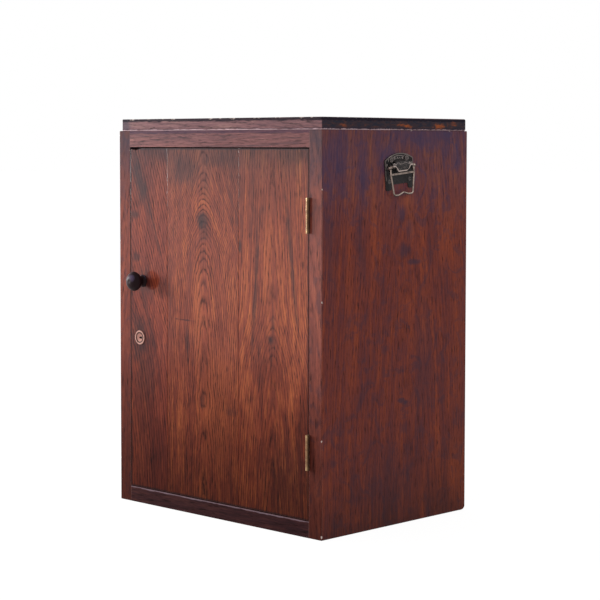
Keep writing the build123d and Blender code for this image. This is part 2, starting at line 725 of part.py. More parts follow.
for name, (y0, y1) in (("top_rail_front", front_rail_y), ("top_rail_back", back_rail_y)):
    with BuildPart() as rail:
        slab(-inside_x, inside_x, y0, y1, rail_bottom, SIDE_HEIGHT)
        tenon_x = inside_x + TENON
        slab(-tenon_x, tenon_x, y0 + tenon_inset, y1 - tenon_inset, *rail_tenon)
        add(top_nails, mode=Mode.SUBTRACT)
        add(back_nails, mode=Mode.SUBTRACT)
    keep(rail, name)

bottom_split = -6.0
bottom_front_y = (front, bottom_split - SEAM / 2)
bottom_rear_y = (bottom_split + SEAM / 2, inside_back)
for name, (y0, y1) in (("front", bottom_front_y), ("rear", bottom_rear_y)):
    with BuildPart() as bottom_board:
        slab(-inside_x, inside_x, y0, y1, 0, BOTTOM_THICKNESS)
        if name == "front":
            # The upper front edge is eased, where the door shuts over it.
            fillet(bottom_board.edges().filter_by(Axis.X).group_by(Axis.Z)[-1].sort_by(Axis.Y)[0], 1.2)
        tongue_front = max(y0, front + tenon_inset)
        slab(-inside_x - TENON, inside_x + TENON, tongue_front, y1, *tongue)
        add(back_nails, mode=Mode.SUBTRACT)
    keep(bottom_board, f"bottom_board_{name}")

for name, centre in zip(("left", "middle", "right"), back_centres):
    with BuildPart() as back_board:
        slab(centre - back_width / 2, centre + back_width / 2, inside_back, back, 0, SIDE_HEIGHT)
        add(back_nails, mode=Mode.SUBTRACT)
    keep(back_board, f"back_board_{name}")

with BuildPart() as shelf:
    shelf_half = inside_x - shelf_gap
    slab(-shelf_half, shelf_half, shelf_front, inside_back - shelf_gap, shelf_bottom, SHELF_TOP)
    fillet(shelf.edges().filter_by(Axis.X).group_by(Axis.Y)[0], 1.5)
keep(shelf, "shelf")

for name, side in (("left", -1), ("right", 1)):
    with BuildPart() as cleat:
        cleat_x = side * (inside_x - cleat_width)
        slab(side * inside_x, cleat_x, cleat_front, cleat_back, shelf_bottom - cleat_height, shelf_bottom)
        front_edges = cleat.edges().filter_by(Axis.Z).group_by(Axis.Y)[0].sort_by(Axis.X)
        chamfer(front_edges[-1 if side < 0 else 0], cleat_chamfer)
        add(lath_nails, mode=Mode.SUBTRACT)
    keep(cleat, f"shelf_cleat_{name}")

stop_x = (-inside_x, -inside_x + stop_width)
for name, z0, z1 in (("lower", BOTTOM_THICKNESS, stop_lower_top), ("upper", stop_upper_foot, rail_bottom)):
    with BuildPart() as stop_lath:
        slab(*stop_x, stop_front, stop_front + stop_depth, z0, z1)
        add(lath_nails, mode=Mode.SUBTRACT)
    keep(stop_lath, f"door_stop_{name}")

# --- Door ---------------------------------------------------------------------------------------------

seam_1, seam_2 = DOOR_SEAMS
board_edges = {
    "left": (door_left, seam_1 - SEAM / 2),
    "middle": (seam_1 + SEAM / 2, seam_2 - SEAM / 2),
    "right": (seam_2 + SEAM / 2, door_right),
}
batten_nail_x = (-158.0, -128.0, -78.0, 20.0, 82.0, 158.0)  # two nails to each door board
batten_nail_rise = 13.0  # above and below the batten's middle by turns
batten_chamfer = 3.0
batten_nail_places = [
    (x, batten_back, level + (batten_nail_rise if i % 2 else -batten_nail_rise))
    for level in HINGE_LEVELS.values()
    for i, x in enumerate(batten_nail_x)
]
batten_nails = set_out(short_nail, FROM_BACK, batten_nail_places)
keep(batten_nails, "batten_nails")

for name, level in HINGE_LEVELS.items():
    with BuildPart() as batten:
        z0, z1 = level - BATTEN_HEIGHT / 2, level + BATTEN_HEIGHT / 2
        slab(-BATTEN_HALF_LENGTH, BATTEN_HALF_LENGTH, door_back, batten_back, z0, z1)
        chamfer(batten.edges().group_by(Axis.Y)[-1], batten_chamfer)
        add(batten_nails, mode=Mode.SUBTRACT)
    keep(batten, f"door_batten_{name}")

knob_screw_length, knob_screw_radius = 32.0, 2.0
screw_head_radius, screw_head_height = 4.2, 2.4
screw_slot = (9.0, 1.0, 1.0)  # length, width and depth
with BuildPart() as knob_screw:
    with BuildSketch(front_plane(KNOB_X, door_back, KNOB_Z)):
        Circle(knob_screw_radius)
    extrude(amount=knob_screw_length)
    with BuildSketch(front_plane(KNOB_X, door_back, KNOB_Z)):
        Circle(screw_head_radius)
    extrude(amount=-screw_head_height)
    chamfer(knob_screw.edges().group_by(Axis.Y)[-1], 1.0)
    with BuildSketch(front_plane(KNOB_X, door_back + screw_head_height, KNOB_Z)):
        Rectangle(screw_slot[0], screw_slot[1])
    extrude(amount=screw_slot[2], mode=Mode.SUBTRACT)
keep(knob_screw, "knob_screw")

# Profile of the knob: distance from its axis, and distance out from the door. The ball is a little
# flattened, and a waisted neck joins it to a stout foot.
knob_foot_radius, knob_foot_height = 9.5, 1.2
neck = (7.0, 5.4)
ball_back, ball_shoulder = (9.0, 10.4), (13.3, 13.9)  # where the neck runs into the ball, and its swell
ball_middle_out = KNOB_REACH - 9.5
ball_front = (10.6, KNOB_REACH - 2.7)
pip_radius = 1.2  # the turner's pip at the tip
knob_plane = Plane(origin=(KNOB_X, front, KNOB_Z), x_dir=(1, 0, 0), z_dir=(0, 0, -1))
with BuildPart() as knob:
    with BuildSketch(knob_plane):
        with BuildLine():
            Polyline((0, 0), (knob_foot_radius, 0), (knob_foot_radius, knob_foot_height))
            ThreePointArc((knob_foot_radius, knob_foot_height), neck, ball_back)
            ThreePointArc(ball_back, ball_shoulder, (KNOB_RADIUS, ball_middle_out))
            ThreePointArc((KNOB_RADIUS, ball_middle_out), ball_front, (pip_radius, KNOB_REACH))
            Polyline((pip_radius, KNOB_REACH), (0, KNOB_REACH), (0, 0))
        make_face()
    revolve(axis=Axis(origin=(KNOB_X, front, KNOB_Z), direction=(0, -1, 0)))
    with BuildSketch(front_plane(KNOB_X, front, KNOB_Z)):
        Circle(knob_screw_radius + RUNNING_CLEARANCE)
    extrude(amount=knob_screw_length - DOOR_THICKNESS + 0.5, mode=Mode.SUBTRACT)
keep(knob, "knob")

splinter = [(-1, 1), (-1, -1.4), (9, -2.2), (13, -3.6), (18, -2.0), (31, 0.2), (31, 1)]
splinter_depth = 9.0
for name, (x0, x1) in board_edges.items():
    with BuildPart() as door_board:
        slab(x0, x1, front, door_back, door_low, door_high)
        fillet(door_board.edges().filter_by(Axis.Z).group_by(Axis.Y)[0], 0.6)
        if name == "left":
            with BuildSketch(front_plane(KNOB_X, front, KNOB_Z)):
                Circle(knob_screw_radius + RUNNING_CLEARANCE)
            extrude(amount=-DOOR_THICKNESS, mode=Mode.SUBTRACT)
            with BuildSketch(front_plane(LOCK_X, front, LOCK_Z)):
                Circle(LOCK_BARREL_RADIUS + RUNNING_CLEARANCE)
            extrude(amount=-DOOR_THICKNESS, mode=Mode.SUBTRACT)
            add(lock_case_holes, mode=Mode.SUBTRACT)
            # A splinter has gone from the top edge beside the corner.
            with BuildSketch(front_plane(x0, front, door_high)):
                with BuildLine():
                    Polyline(*splinter, close=True)
                make_face()
            extrude(amount=-splinter_depth, mode=Mode.SUBTRACT)
        if name == "right":
            mortise_x = pin_x - leaf_face - LEAF_THICKNESS
            for level in HINGE_LEVELS.values():
                mortise_z = (level - HINGE_HEIGHT / 2, level + HINGE_HEIGHT / 2)
                slab(mortise_x, door_right, front, leaf_outer_y, *mortise_z, mode=Mode.SUBTRACT)
            add(hinge_door_holes, mode=Mode.SUBTRACT)
        add(batten_nails, mode=Mode.SUBTRACT)
    keep(door_board, f"door_board_{name}")

print("bolt drawn at", bolt_end, "and shot at", bolt_end - BOLT_THROW)
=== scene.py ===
# %% [markdown]
# A small teak cabinet with one door, two lifting handles, brass butt hinges and a cylinder lock.
# The construction comes in as a fixed frame of named pieces, each in metres and already in its place.
# This script dresses them: it paints the timber and the metal, wears and chips the outer edges, and
# stamps the ornament on the handles.

# %% Load the frame
from math import cos, pi, radians, sin
from random import Random

import bmesh
import bpy
from mathutils import Matrix, Vector
from mathutils.bvhtree import BVHTree


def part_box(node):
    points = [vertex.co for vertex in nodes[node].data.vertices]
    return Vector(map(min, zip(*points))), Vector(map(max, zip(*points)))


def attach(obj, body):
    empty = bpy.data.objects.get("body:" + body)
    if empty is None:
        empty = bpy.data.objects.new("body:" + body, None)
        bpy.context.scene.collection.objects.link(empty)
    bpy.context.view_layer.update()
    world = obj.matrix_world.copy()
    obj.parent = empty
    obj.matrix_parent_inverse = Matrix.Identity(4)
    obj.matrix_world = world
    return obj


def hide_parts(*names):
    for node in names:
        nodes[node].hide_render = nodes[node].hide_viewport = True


MM = 0.001

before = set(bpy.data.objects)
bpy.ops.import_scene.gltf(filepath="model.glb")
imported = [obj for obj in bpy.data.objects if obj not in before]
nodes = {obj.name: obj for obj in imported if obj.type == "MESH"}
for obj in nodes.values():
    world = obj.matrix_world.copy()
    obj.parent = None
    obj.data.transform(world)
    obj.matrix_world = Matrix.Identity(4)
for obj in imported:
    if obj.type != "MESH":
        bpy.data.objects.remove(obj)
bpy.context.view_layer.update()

# %% [markdown]
# The camera stands off the front right corner, about as high as the cabinet's top, with a long lens.
# A shifted lens, as on a view camera, keeps the uprights parallel while the cabinet sits a little
# low in the picture.

# %% Camera
PICTURE = 600  # side of the square picture, in pixels
CAMERA_PLACE = (1.9647, -1.9865, 0.5588)
CAMERA_YAW = radians(44.39)  # turned left from looking along +Y
CAMERA_PITCH = radians(-3.30)
CAMERA_ROLL = radians(0.08)
FOCAL_PIXELS = 1802.5
LENS_RISE = 50  # pixels from the lens axis down to the middle of the picture

lens = bpy.data.cameras.new("camera")
lens.sensor_width = 36
lens.lens = FOCAL_PIXELS / PICTURE * lens.sensor_width
lens.shift_y = -LENS_RISE / PICTURE
camera = bpy.data.objects.new("camera", lens)
bpy.context.collection.objects.link(camera)
turn = Matrix.Rotation(CAMERA_YAW, 4, "Z") @ Matrix.Rotation(pi / 2 + CAMERA_PITCH, 4, "X")
camera.matrix_world = Matrix.Translation(CAMERA_PLACE) @ turn @ Matrix.Rotation(CAMERA_ROLL, 4, "Z")
bpy.context.scene.camera = camera
print("lens in mm:", round(lens.lens, 2))

# %% [markdown]
# Shader maths reads best as ordinary expressions. A Signal wraps one output socket, and its
# operators add the Math or Vector Math nodes that do the sum. A Finish is one set of shader nodes;
# its node() method adds any other kind of node, with its settings first and its sockets after.

# %% Signals and finishes
class Signal:
    """A node's output socket that takes part in Python arithmetic."""

    def __init__(self, finish, socket):
        self.finish, self.socket = finish, socket
        self.is_value = socket.type == "VALUE"

    def __add__(self, other):
        return self.finish.sum_of("ADD", self, other)

    def __radd__(self, other):
        return self.finish.sum_of("ADD", other, self)

    def __sub__(self, other):
        return self.finish.sum_of("SUBTRACT", self, other)

    def __rsub__(self, other):
        return self.finish.sum_of("SUBTRACT", other, self)

    def __mul__(self, other):
        return self.finish.sum_of("MULTIPLY", self, other)

    def __truediv__(self, other):
        return self.finish.sum_of("DIVIDE", self, other)


class Finish:
    """One node tree, of a material or of the world, and the means to add nodes to it."""

    def __init__(self, name="", tree=None):
        if tree is None:
            self.material = bpy.data.materials.new(name)
            self.material.use_nodes = True
            tree = self.material.node_tree
        self.tree = tree
        self.tree.nodes.clear()

    def node(self, kind, settings=None, sockets=None, output=0):
        """Add a node, give it its settings, fill its sockets, and return one of its outputs."""
        made = self.tree.nodes.new(kind)
        for key, value in (settings or {}).items():
            if key == "stops":
                self.set_stops(made.color_ramp, value)
            elif key == "points":
                self.set_points(made.mapping, value)
            else:
                setattr(made, key, value)
        for key, value in (sockets or {}).items():
            if isinstance(value, Signal):
                self.tree.links.new(value.socket, made.inputs[key])
            else:
                made.inputs[key].default_value = value
        return Signal(self, made.outputs[output]) if made.outputs else made

    @staticmethod
    def set_stops(ramp, stops):
        while len(ramp.elements) < len(stops):
            ramp.elements.new(0.5)
        for element, (place, colour) in zip(ramp.elements, stops):
            element.position = place
            element.color = (*colour, 1) if isinstance(colour, tuple) else (colour, colour, colour, 1)

    @staticmethod
    def set_points(mapping, points):
        curve = mapping.curves[0]
        while len(curve.points) < len(points):
            curve.points.new(0.5, 0.5)
        for point, place in zip(curve.points, points):
            point.location = place
        mapping.update()

    def sum_of(self, operation, first, second):
        """A Math node on values, or a Vector Math node where either side is a vector or a colour."""
        sides = (first, second)
        plain = all(not isinstance(s, (Signal, tuple)) or getattr(s, "is_value", False) for s in sides)
        if plain:
            return self.node("ShaderNodeMath", {"operation": operation}, dict(enumerate(sides)))
        sides = [s if isinstance(s, (Signal, tuple)) else (s, s, s) for s in sides]
        return self.node("ShaderNodeVectorMath", {"operation": operation}, dict(enumerate(sides)))

    def math(self, operation, first, second=0.0):
        return self.node("ShaderNodeMath", {"operation": operation}, {0: first, 1: second})

    def mix(self, factor, first, second):
        """Mix two colours by a factor."""
        settings = {"data_type": "RGBA"}
        first, second = [(*c, 1) if isinstance(c, tuple) else c for c in (first, second)]
        return self.node("ShaderNodeMix", settings, {0: factor, 6: first, 7: second}, output=2)

    def noise(self, place, scale=1.0, detail=2.0, roughness=0.5, distortion=0.0):
        """Smooth noise from 0 to 1, about 0.5 on average."""
        sockets = {"Vector": place, "Scale": scale, "Detail": detail}
        sockets.update({"Roughness": roughness, "Distortion": distortion})
        return self.node("ShaderNodeTexNoise", {}, sockets)

    def step(self, value, low, high, to_low=0.0, to_high=1.0):
        """A soft step: to_low below low, to_high above high, and a smooth turn between them."""
        sockets = {"Value": value, "From Min": low, "From Max": high, "To Min": to_low, "To Max": to_high}
        return self.node("ShaderNodeMapRange", {"interpolation_type": "SMOOTHSTEP"}, sockets)

    def ramp(self, value, stops):
        return self.node("ShaderNodeValToRGB", {"stops": stops}, {"Fac": value})

    def split(self, vector):
        """The three values of a vector."""
        parts = self.node("ShaderNodeSeparateXYZ", {}, {0: vector}).socket.node
        return [Signal(self, output) for output in parts.outputs]

    def axes(self):
        """The place on the object at rest, in millimetres, as three values."""
        return self.split(self.node("ShaderNodeTexCoord", output=3) * (1 / MM))

    def normals(self):
        """The surface's direction in the object's own axes, as three values."""
        return self.split(self.node("ShaderNodeTexCoord", output=1))

    def point(self, x, y, z):
        return self.node("ShaderNodeCombineXYZ", {}, {0: x, 1: y, 2: z})

    def bump(self, height, distance):
        """A Bump node's normal; the distance is the real height of the relief in millimetres."""
        sockets = {"Height": height, "Distance": distance * MM, "Strength": 1.0}
        return self.node("ShaderNodeBump", {}, sockets)

    def corner(self, reach):
        """How far a rounded normal turns from the true one: 0 on a flat, more at an edge or a corner."""
        rounded = self.node("ShaderNodeBevel", {"samples": 6}, {"Radius": reach * MM})
        true = self.node("ShaderNodeNewGeometry", output=3)
        sockets = {0: rounded, 1: true}
        return 1 - self.node("ShaderNodeVectorMath", {"operation": "DOT_PRODUCT"}, sockets, output=1)

    def hollow(self, reach):
        """1 deep in a hollow or a gap, 0 out in the open."""
        sockets = {"Distance": reach * MM}
        return 1 - self.node("ShaderNodeAmbientOcclusion", {"samples": 8}, sockets, output=1)

    def surface(self, **sockets):
        """The Principled shader, with socket names written with underscores."""
        named = {key.replace("_", " "): value for key, value in sockets.items()}
        shader = self.node("ShaderNodeBsdfPrincipled", {}, named)
        self.node("ShaderNodeOutputMaterial", {}, {"Surface": shader})
        return self.material


def paint(red, green, blue):
    """A colour written as it looks on a screen, 0 to 255, turned into the light values shaders use."""
    shares = (channel / 255 for channel in (red, green, blue))
    return tuple(s / 12.92 if s <= 0.04045 else ((s + 0.055) / 1.055) ** 2.4 for s in shares)


print("paint(128, 80, 72) is", [round(c, 3) for c in paint(128, 80, 72)])

# %% [markdown]
# Flat-sawn teak shows the tree's growth rings as nested arches, because a ring is a long cone and
# the saw cuts it lengthwise. So the grain is worked out from the tree: the distance of a point from
# the tree's heart, plus a rise along the grain, divided by the ring spacing. A curve of that rise
# gives each board its own arches, and a dip in the curve gives a closed eye. Streaks of colour follow
# the rings, and short dark pores follow the grain.

# %% Teak
UMBER = paint(52, 24, 23)
# The tone of soot stains, and of the painted shade round the door.
SOOT_AND_SHADE = paint(42, 25, 31)
PLUM = paint(64, 42, 54)
RUBBED = paint(176, 138, 132)
# Three tones of wood each, from dark to light, and the warmth at which each one stands.
TONE_STOPS = (0.2, 0.5, 0.82)
END_STOPS = (0.42, 0.66, 0.95)
DOOR_TONES = (paint(92, 40, 33), paint(140, 61, 40), paint(188, 98, 54))
LEFT_TONES = (paint(88, 36, 33), paint(128, 53, 38), paint(166, 78, 48))
END_TONES = (paint(36, 34, 46), paint(62, 42, 44), paint(142, 72, 36))
BARE_TONES = (paint(80, 50, 40), paint(112, 72, 54), paint(140, 98, 72))
NO_TINT = (1.0, 1.0, 1.0)
# Painted sheen: near the top, the front and the side are tinted bluish, a painted reflection.
FRONT_TOP_SHEEN = (0.84, 1.12, 1.75)
SIDE_TOP_SHEEN = (0.9, 1.5, 2.35)

WANDER = 3.0  # how far the rings stray from true circles, in millimetres
# How dark a growth ring is across its width: a sharp dark line of late wood, then pale early wood.
RING_PROFILE = [(0.0, 0.8), (0.08, 1.0), (0.24, 0.4), (0.46, 0.06), (0.84, 0.0), (1.0, 0.8)]
# The noises in the grain: size across and along the board in millimetres, detail and roughness.
GRAIN = {
    "drift": (60, 160, 1.0, 0.5),
    "ripple": (9, 22, 3.0, 0.6),
    "broken": (3, 14, 2.0, 0.5),
    "broad": (17, 420, 2.0, 0.6),
    "streak": (3.2, 110, 3.0, 0.65),
    "fine": (2.0, 30, 2.0, 0.65),
    "cloud": (44, 80, 4.0, 0.62),
    "pores": (1.5, 8, 1.5, 0.5),
    "dashes": (2.2, 20, 1.5, 0.5),
}

FULL_HEIGHT = (0.0, 600.0)  # the cabinet's foot and top, in millimetres
# Dirt and painted shade darken the front towards its foot, and the side at its foot; the front's top is
# darker too.
FRONT_SHADE_AND_DIRT = [
    (0, 0.3), (45, 0.36), (110, 0.5), (175, 0.66), (300, 0.97),
    (430, 1.02), (500, 0.92), (565, 0.58), (600, 0.54),
]
SIDE_SHADE_AND_DIRT = [(0, 0.5), (60, 0.76), (150, 0.94), (300, 1.0), (500, 1.0), (570, 0.92), (600, 0.85)]
# Wax has been rubbed on at hand height, so the coat is glossy above and gone at the foot.
FRONT_COAT = [(0, 0.0), (100, 0.02), (180, 0.12), (300, 0.55), (430, 0.8), (600, 0.8)]


def along_curve(finish, along, ends, points):
    """A smooth curve over a board's length; points are (place, height) with both in millimetres."""
    low, high = ends
    top = max(height for _, height in points)
    shares = [((place - low) / (high - low), height / top) for place, height in sorted(points)]
    share = finish.node("ShaderNodeMapRange", {}, {"Value": along, "From Min": low, "From Max": high})
    return finish.node("ShaderNodeFloatCurve", {"points": shares}, {"Value": share}) * top


def stain(finish, across, along, ragged, centre, size, lean=0.0):
    """A soft-edged patch, 1 in its middle; it may lean, and a noise makes its outline ragged."""
    u = (across - centre[0] - (along - centre[1]) * lean) / size[0]
    v = (along - centre[1]) / size[1]
    away = finish.math("SQRT", u * u + v * v) + (ragged - 0.5) * 1.6
    return finish.step(away, 0.2, 1.2, 1.0, 0.0)


def shade_dirt_and_sheen(f, colour, uneven_height, at_front):
    """Dirt and painted shade darken the foot, and a painted sheen tints the top; uneven_height is the
    height, made uneven.
    """
    # Painted shade and dirt: darker towards the foot.
    front_shade_and_dirt = along_curve(f, uneven_height, FULL_HEIGHT, FRONT_SHADE_AND_DIRT)
    shade_and_dirt = f.mix(at_front, along_curve(f, uneven_height, FULL_HEIGHT, SIDE_SHADE_AND_DIRT), front_shade_and_dirt)
    # Painted sheen: a bluish tint near the top of the front and of the side.
    front_sheen = f.mix(f.step(uneven_height, 470.0, 590.0), NO_TINT, FRONT_TOP_SHEEN)
    side_sheen = f.mix(f.step(uneven_height, 400.0, 570.0), NO_TINT, SIDE_TOP_SHEEN)
    return colour * shade_and_dirt * f.mix(at_front, side_sheen, front_sheen)


def outline_shade_and_dirt(f, xyz, broken, outline):
    """Dirt and painted shade from the gap round the door, within about 3 mm of the door's outline."""
    (left, bottom), (right, top) = outline
    sideways = f.math("MINIMUM", xyz["X"] - left, right - xyz["X"])
    upward = f.math("MINIMUM", xyz["Z"] - bottom, top - xyz["Z"])
    inward = f.math("MINIMUM", sideways, upward) + (broken - 0.5) * 2
    return f.step(inward, 0.4, 3.4, 0.75, 0.0)


def end_tone(f, across, deep, ripple, patches, seed):
    """The sooty colour of a sawn end, warm in patches where the soot has been rubbed away."""
    heat = f.noise(f.point(across / 11 + seed, deep / 3.5, 0.0), detail=3.0, roughness=0.6)
    for centre, size, strength in patches:
        heat = heat + stain(f, across, deep, ripple, centre, size) * (strength * 0.4)
    return f.ramp(heat, list(zip(END_STOPS, END_TONES)))


def teak(
    name,
    order,
    heart,
    ends,
    rise,
    spacing=5.0,
    seed=0.0,
    tones=DOOR_TONES,
    front_tones=None,
    line=0.8,
    curl=0.35,
    contrast=1.0,
    stains=(),
    glows=(),
    side_coat=0.12,
    edge=0.35,
    end_patches=(),
    bands=(),
    stain_tone=SOOT_AND_SHADE,
    mottle=0.0,
    wax=1.0,
    outline=None,
    inside=None,
):
    """Old waxed teak. Order names the axes across the board, along its grain and through it.

    Inside is the direction, as an axis and a sign, of a face that was never waxed.
    """
    f = Finish(name)
    xyz = dict(zip("XYZ", f.axes()))
    facing = dict(zip("XYZ", f.normals()))
    across, along, deep = (xyz[axis] for axis in order)
    at_front = f.step(facing["Y"] * -1, 0.5, 0.8)

    grain = {}
    for kind, (width, length, detail, roughness) in GRAIN.items():
        place = f.point(across / width + seed, along / length, deep / width)
        grain[kind] = f.noise(place, detail=detail, roughness=roughness)
    drift, ripple, broken, broad, streak, fine, cloud, pores, dashes = grain.values()

    u = across - heart[0] + (drift - 0.5) * (2 * WANDER)
    w = deep - heart[1]
    climb = along_curve(f, along, ends, rise)
    ring = (f.math("SQRT", u * u + w * w) + climb) / spacing + (ripple - 0.5) * (2 * curl)
    lot = f.node("ShaderNodeTexWhiteNoise", {"noise_dimensions": "1D"}, {"W": f.math("FLOOR", ring) + seed})
    rings = f.ramp(f.math("FRACT", ring), RING_PROFILE) * (lot * 0.5 + 0.5)
    rings = rings * f.step(broken, 0.36, 0.56, 0.5, 1.0)
    by_ring = f.noise(f.point(ring * 0.9 + seed, along / 200, across / 90), detail=2.0, roughness=0.6)
    fleck = f.math("MINIMUM", f.step(pores, 0.54, 0.68) * 0.4 + f.step(dashes, 0.57, 0.68), 1.0)

    warmth = (by_ring - 0.5) * 0.5 + (broad - 0.5) * 0.5 + (streak - 0.5) * 0.6
    warmth = warmth + (fine - 0.5) * 0.75 + (cloud - 0.5) * 0.5 + (lot - 0.5) * 0.1
    warmth = warmth * contrast + 0.5

    def body_of(three_tones):
        return f.ramp(warmth, list(zip(TONE_STOPS, three_tones)))

    body = body_of(tones)
    if front_tones:
        body = f.mix(at_front, body, body_of(front_tones))
    if inside:
        axis, way = inside
        body = f.mix(f.step(facing[axis] * way, 0.5, 0.8), body, body_of(BARE_TONES))
    for centre, size, strength in glows:
        body = f.mix(stain(f, across, along, streak, centre, size) * strength, body, tones[2])
    shade = f.math("MINIMUM", rings * line + fleck * (rings * 0.4 + 0.4), 0.9)
    colour = f.mix(shade, body, UMBER)
    for centre, size, strength, *lean in stains:
        patch = stain(f, across, along, ripple, centre, size, *lean)
        colour = f.mix(patch * strength, colour, stain_tone)
    if mottle:
        swirl_place = f.point(across / 26 + seed, along / 40, deep / 26)
        swirl = f.noise(swirl_place, detail=4.0, roughness=0.62, distortion=1.5)
        colour = f.mix(f.step(swirl, 0.5, 0.66) * mottle, colour, stain_tone)
    if outline:
        # Painted shade and dirt along the door's outline.
        colour = f.mix(outline_shade_and_dirt(f, xyz, broken, outline) * at_front, colour, SOOT_AND_SHADE)

    uneven_height = xyz["Z"] + (cloud - 0.5) * 90 + (streak - 0.5) * 40
    colour = shade_dirt_and_sheen(f, colour, uneven_height, at_front)
    rubbed = f.step(f.corner(1.6) + (streak - 0.5) * 0.25, 0.05, 0.28) * edge
    colour = f.mix(rubbed, colour, f.mix(0.5, colour, RUBBED))
    end_grain = f.step(f.math("ABSOLUTE", facing[order[1]]), 0.6, 0.9)
    if end_patches:
        colour = f.mix(end_grain, colour, end_tone(f, across, deep, ripple, end_patches, seed))
    else:
        colour = f.mix(end_grain * 0.6, colour, UMBER)
    coat = (along_curve(f, uneven_height, FULL_HEIGHT, FRONT_COAT) * wax - side_coat) * at_front + side_coat
    upright = f.step(f.math("ABSOLUTE", facing["Z"]), 0.7, 0.95, 1.0, 0.0)
    for low, high, band_tone, strength in bands:
        ragged = xyz["Z"] + (broken - 0.5) * 4
        above = f.step(ragged, low - 0.6, low + 0.6)
        below = f.step(ragged, high - 0.6, high + 0.6, 1.0, 0.0)
        in_band = above * below * upright * strength
        colour = f.mix(in_band, colour, band_tone)
        coat = coat * (1 - in_band)
    return f.surface(
        Base_Color=colour,
        Roughness=0.55 + shade * 0.2,
        Specular_IOR_Level=0.03,
        Coat_Weight=coat * (1 - shade * 0.4),
        Coat_Roughness=0.13,
        Normal=f.bump(1 - shade, 0.08),
    )


print("kinds of noise in the grain:", len(GRAIN))

# %% [markdown]
# The door is three boards edge to edge. The middle one is cut near the heart, with tight arches
# high up and an eye low down; the left one is cut off to one side, so its lines sweep down to the
# right; the right one shows the two long legs of a wide arch.

# %% Door boards
DOOR_ENDS = (20.0, 560.0)
LOCK_STAIN = ((-176, 262), (24, 46), 0.7)
KNOB_STAIN = ((-160, 345), (22, 26), 0.6)
door_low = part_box("door_board_left")[0] / MM
door_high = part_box("door_board_right")[1] / MM
DOOR_OUTLINE = ((door_low.x, door_low.z), (door_high.x, door_high.z))

finishes = {
    "door_board_left": teak(
        "teak_door_left",
        "XZY",
        heart=(-214.0, -140.0),
        ends=DOOR_ENDS,
        rise=[(20, 0), (120, 8), (240, 30), (330, 66), (450, 112), (560, 150)],
        spacing=5.6,
        seed=3.1,
        tones=LEFT_TONES,
        line=0.85,
        wax=0.8,
        inside=("Y", 1),
        outline=DOOR_OUTLINE,
        stains=[
            ((-160, 210), (34, 60), 0.35),
            LOCK_STAIN,
            KNOB_STAIN,
            ((-172, 505), (16, 50), 0.75, -0.3),
            ((-186, 452), (18, 7), 0.6),
            ((-180, 386), (16, 8), 0.6),
            ((-140, 440), (5, 80), 0.55, -0.33),
            ((-128, 548), (50, 20), 0.35),
            ((-150, 285), (6, 60), 0.4, -0.3),
            ((-165, 150), (30, 130), 0.25),
        ],
    ),
    "door_board_middle": teak(
        "teak_door_middle",
        "XZY",
        heart=(-25.0, -142.0),
        ends=DOOR_ENDS,
        rise=[
            (20, 8), (110, 11), (155, 14), (176, 11.5), (197, 14), (240, 16),
            (327, 24), (380, 33), (450, 60), (517, 88), (560, 98),
        ],
        spacing=3.8,
        seed=7.7,
        line=1.0,
        curl=0.45,
        inside=("Y", 1),
        outline=DOOR_OUTLINE,
        stains=[
            ((-30, 447), (14, 15), 0.8),
            ((-62, 260), (5, 30), 0.6),
            ((35, 165), (18, 8), 0.4),
            ((-66, 520), (40, 30), 0.5),
            ((-70, 295), (22, 1.8), 0.75, -4.0),
            ((-28, 176), (5, 16), 0.45),
            ((12, 540), (40, 16), 0.4),
        ],
        glows=[((-38, 300), (12, 90), 0.35), ((-20, 480), (12, 30), 0.3), ((5, 170), (45, 110), 0.3)],
    ),
    "door_board_right": teak(
        "teak_door_right",
        "XZY",
        heart=(122.0, -147.0),
        ends=DOOR_ENDS,
        rise=[(20, 0), (120, 8), (230, 22), (277, 36), (330, 50), (400, 55), (480, 59), (560, 63)],
        spacing=4.6,
        seed=12.4,
        line=0.65,
        inside=("Y", 1),
        outline=DOOR_OUTLINE,
        stains=[
            ((118, 278), (9, 8), 0.75),
            ((86, 355), (5, 130), 0.6, 0.08),
            ((160, 392), (5, 120), 0.6, -0.13),
            ((122, 300), (4, 24), 0.5),
            ((160, 545), (60, 14), 0.35),
            ((53, 412), (3, 12), 0.8),
            ((150, 70), (60, 90), 0.4),
        ],
        glows=[((112, 400), (12, 90), 0.3), ((140, 330), (8, 60), 0.3)],
    ),
}
print("door outline in mm:", [[round(part, 1) for part in corner] for corner in DOOR_OUTLINE])

# %% [markdown]
# The side planks show more of the tree's dark, and their colour runs in soft upright streaks of
# orange and plum. Their front edges belong to the door's frame, so those take the front's colours.

# %% Carcass finishes
SIDE_TONES = (paint(66, 38, 50), paint(110, 49, 40), paint(158, 72, 36))
STILE_TONES = (paint(94, 46, 42), paint(136, 65, 52), paint(178, 96, 68))
LEFT_STILE_TONES = (paint(86, 39, 36), paint(120, 55, 43), paint(152, 77, 55))
RAIL_TONES = (paint(112, 56, 52), paint(166, 83, 68), paint(206, 118, 90))
TOP_TONES = (paint(112, 62, 60), paint(168, 92, 78), paint(208, 128, 100))
FOOT_TONES = (paint(60, 36, 42), paint(94, 52, 56), paint(126, 74, 68))
DULL_TONES = (paint(70, 48, 40), paint(98, 68, 54), paint(122, 88, 68))
WIDE_ENDS = (-230.0, 230.0)

gentle_rise = [(0, 4), (200, 12), (400, 26), (600, 44)]
wide_rise = [(-230, 4), (-60, 14), (80, 18), (230, 30)]


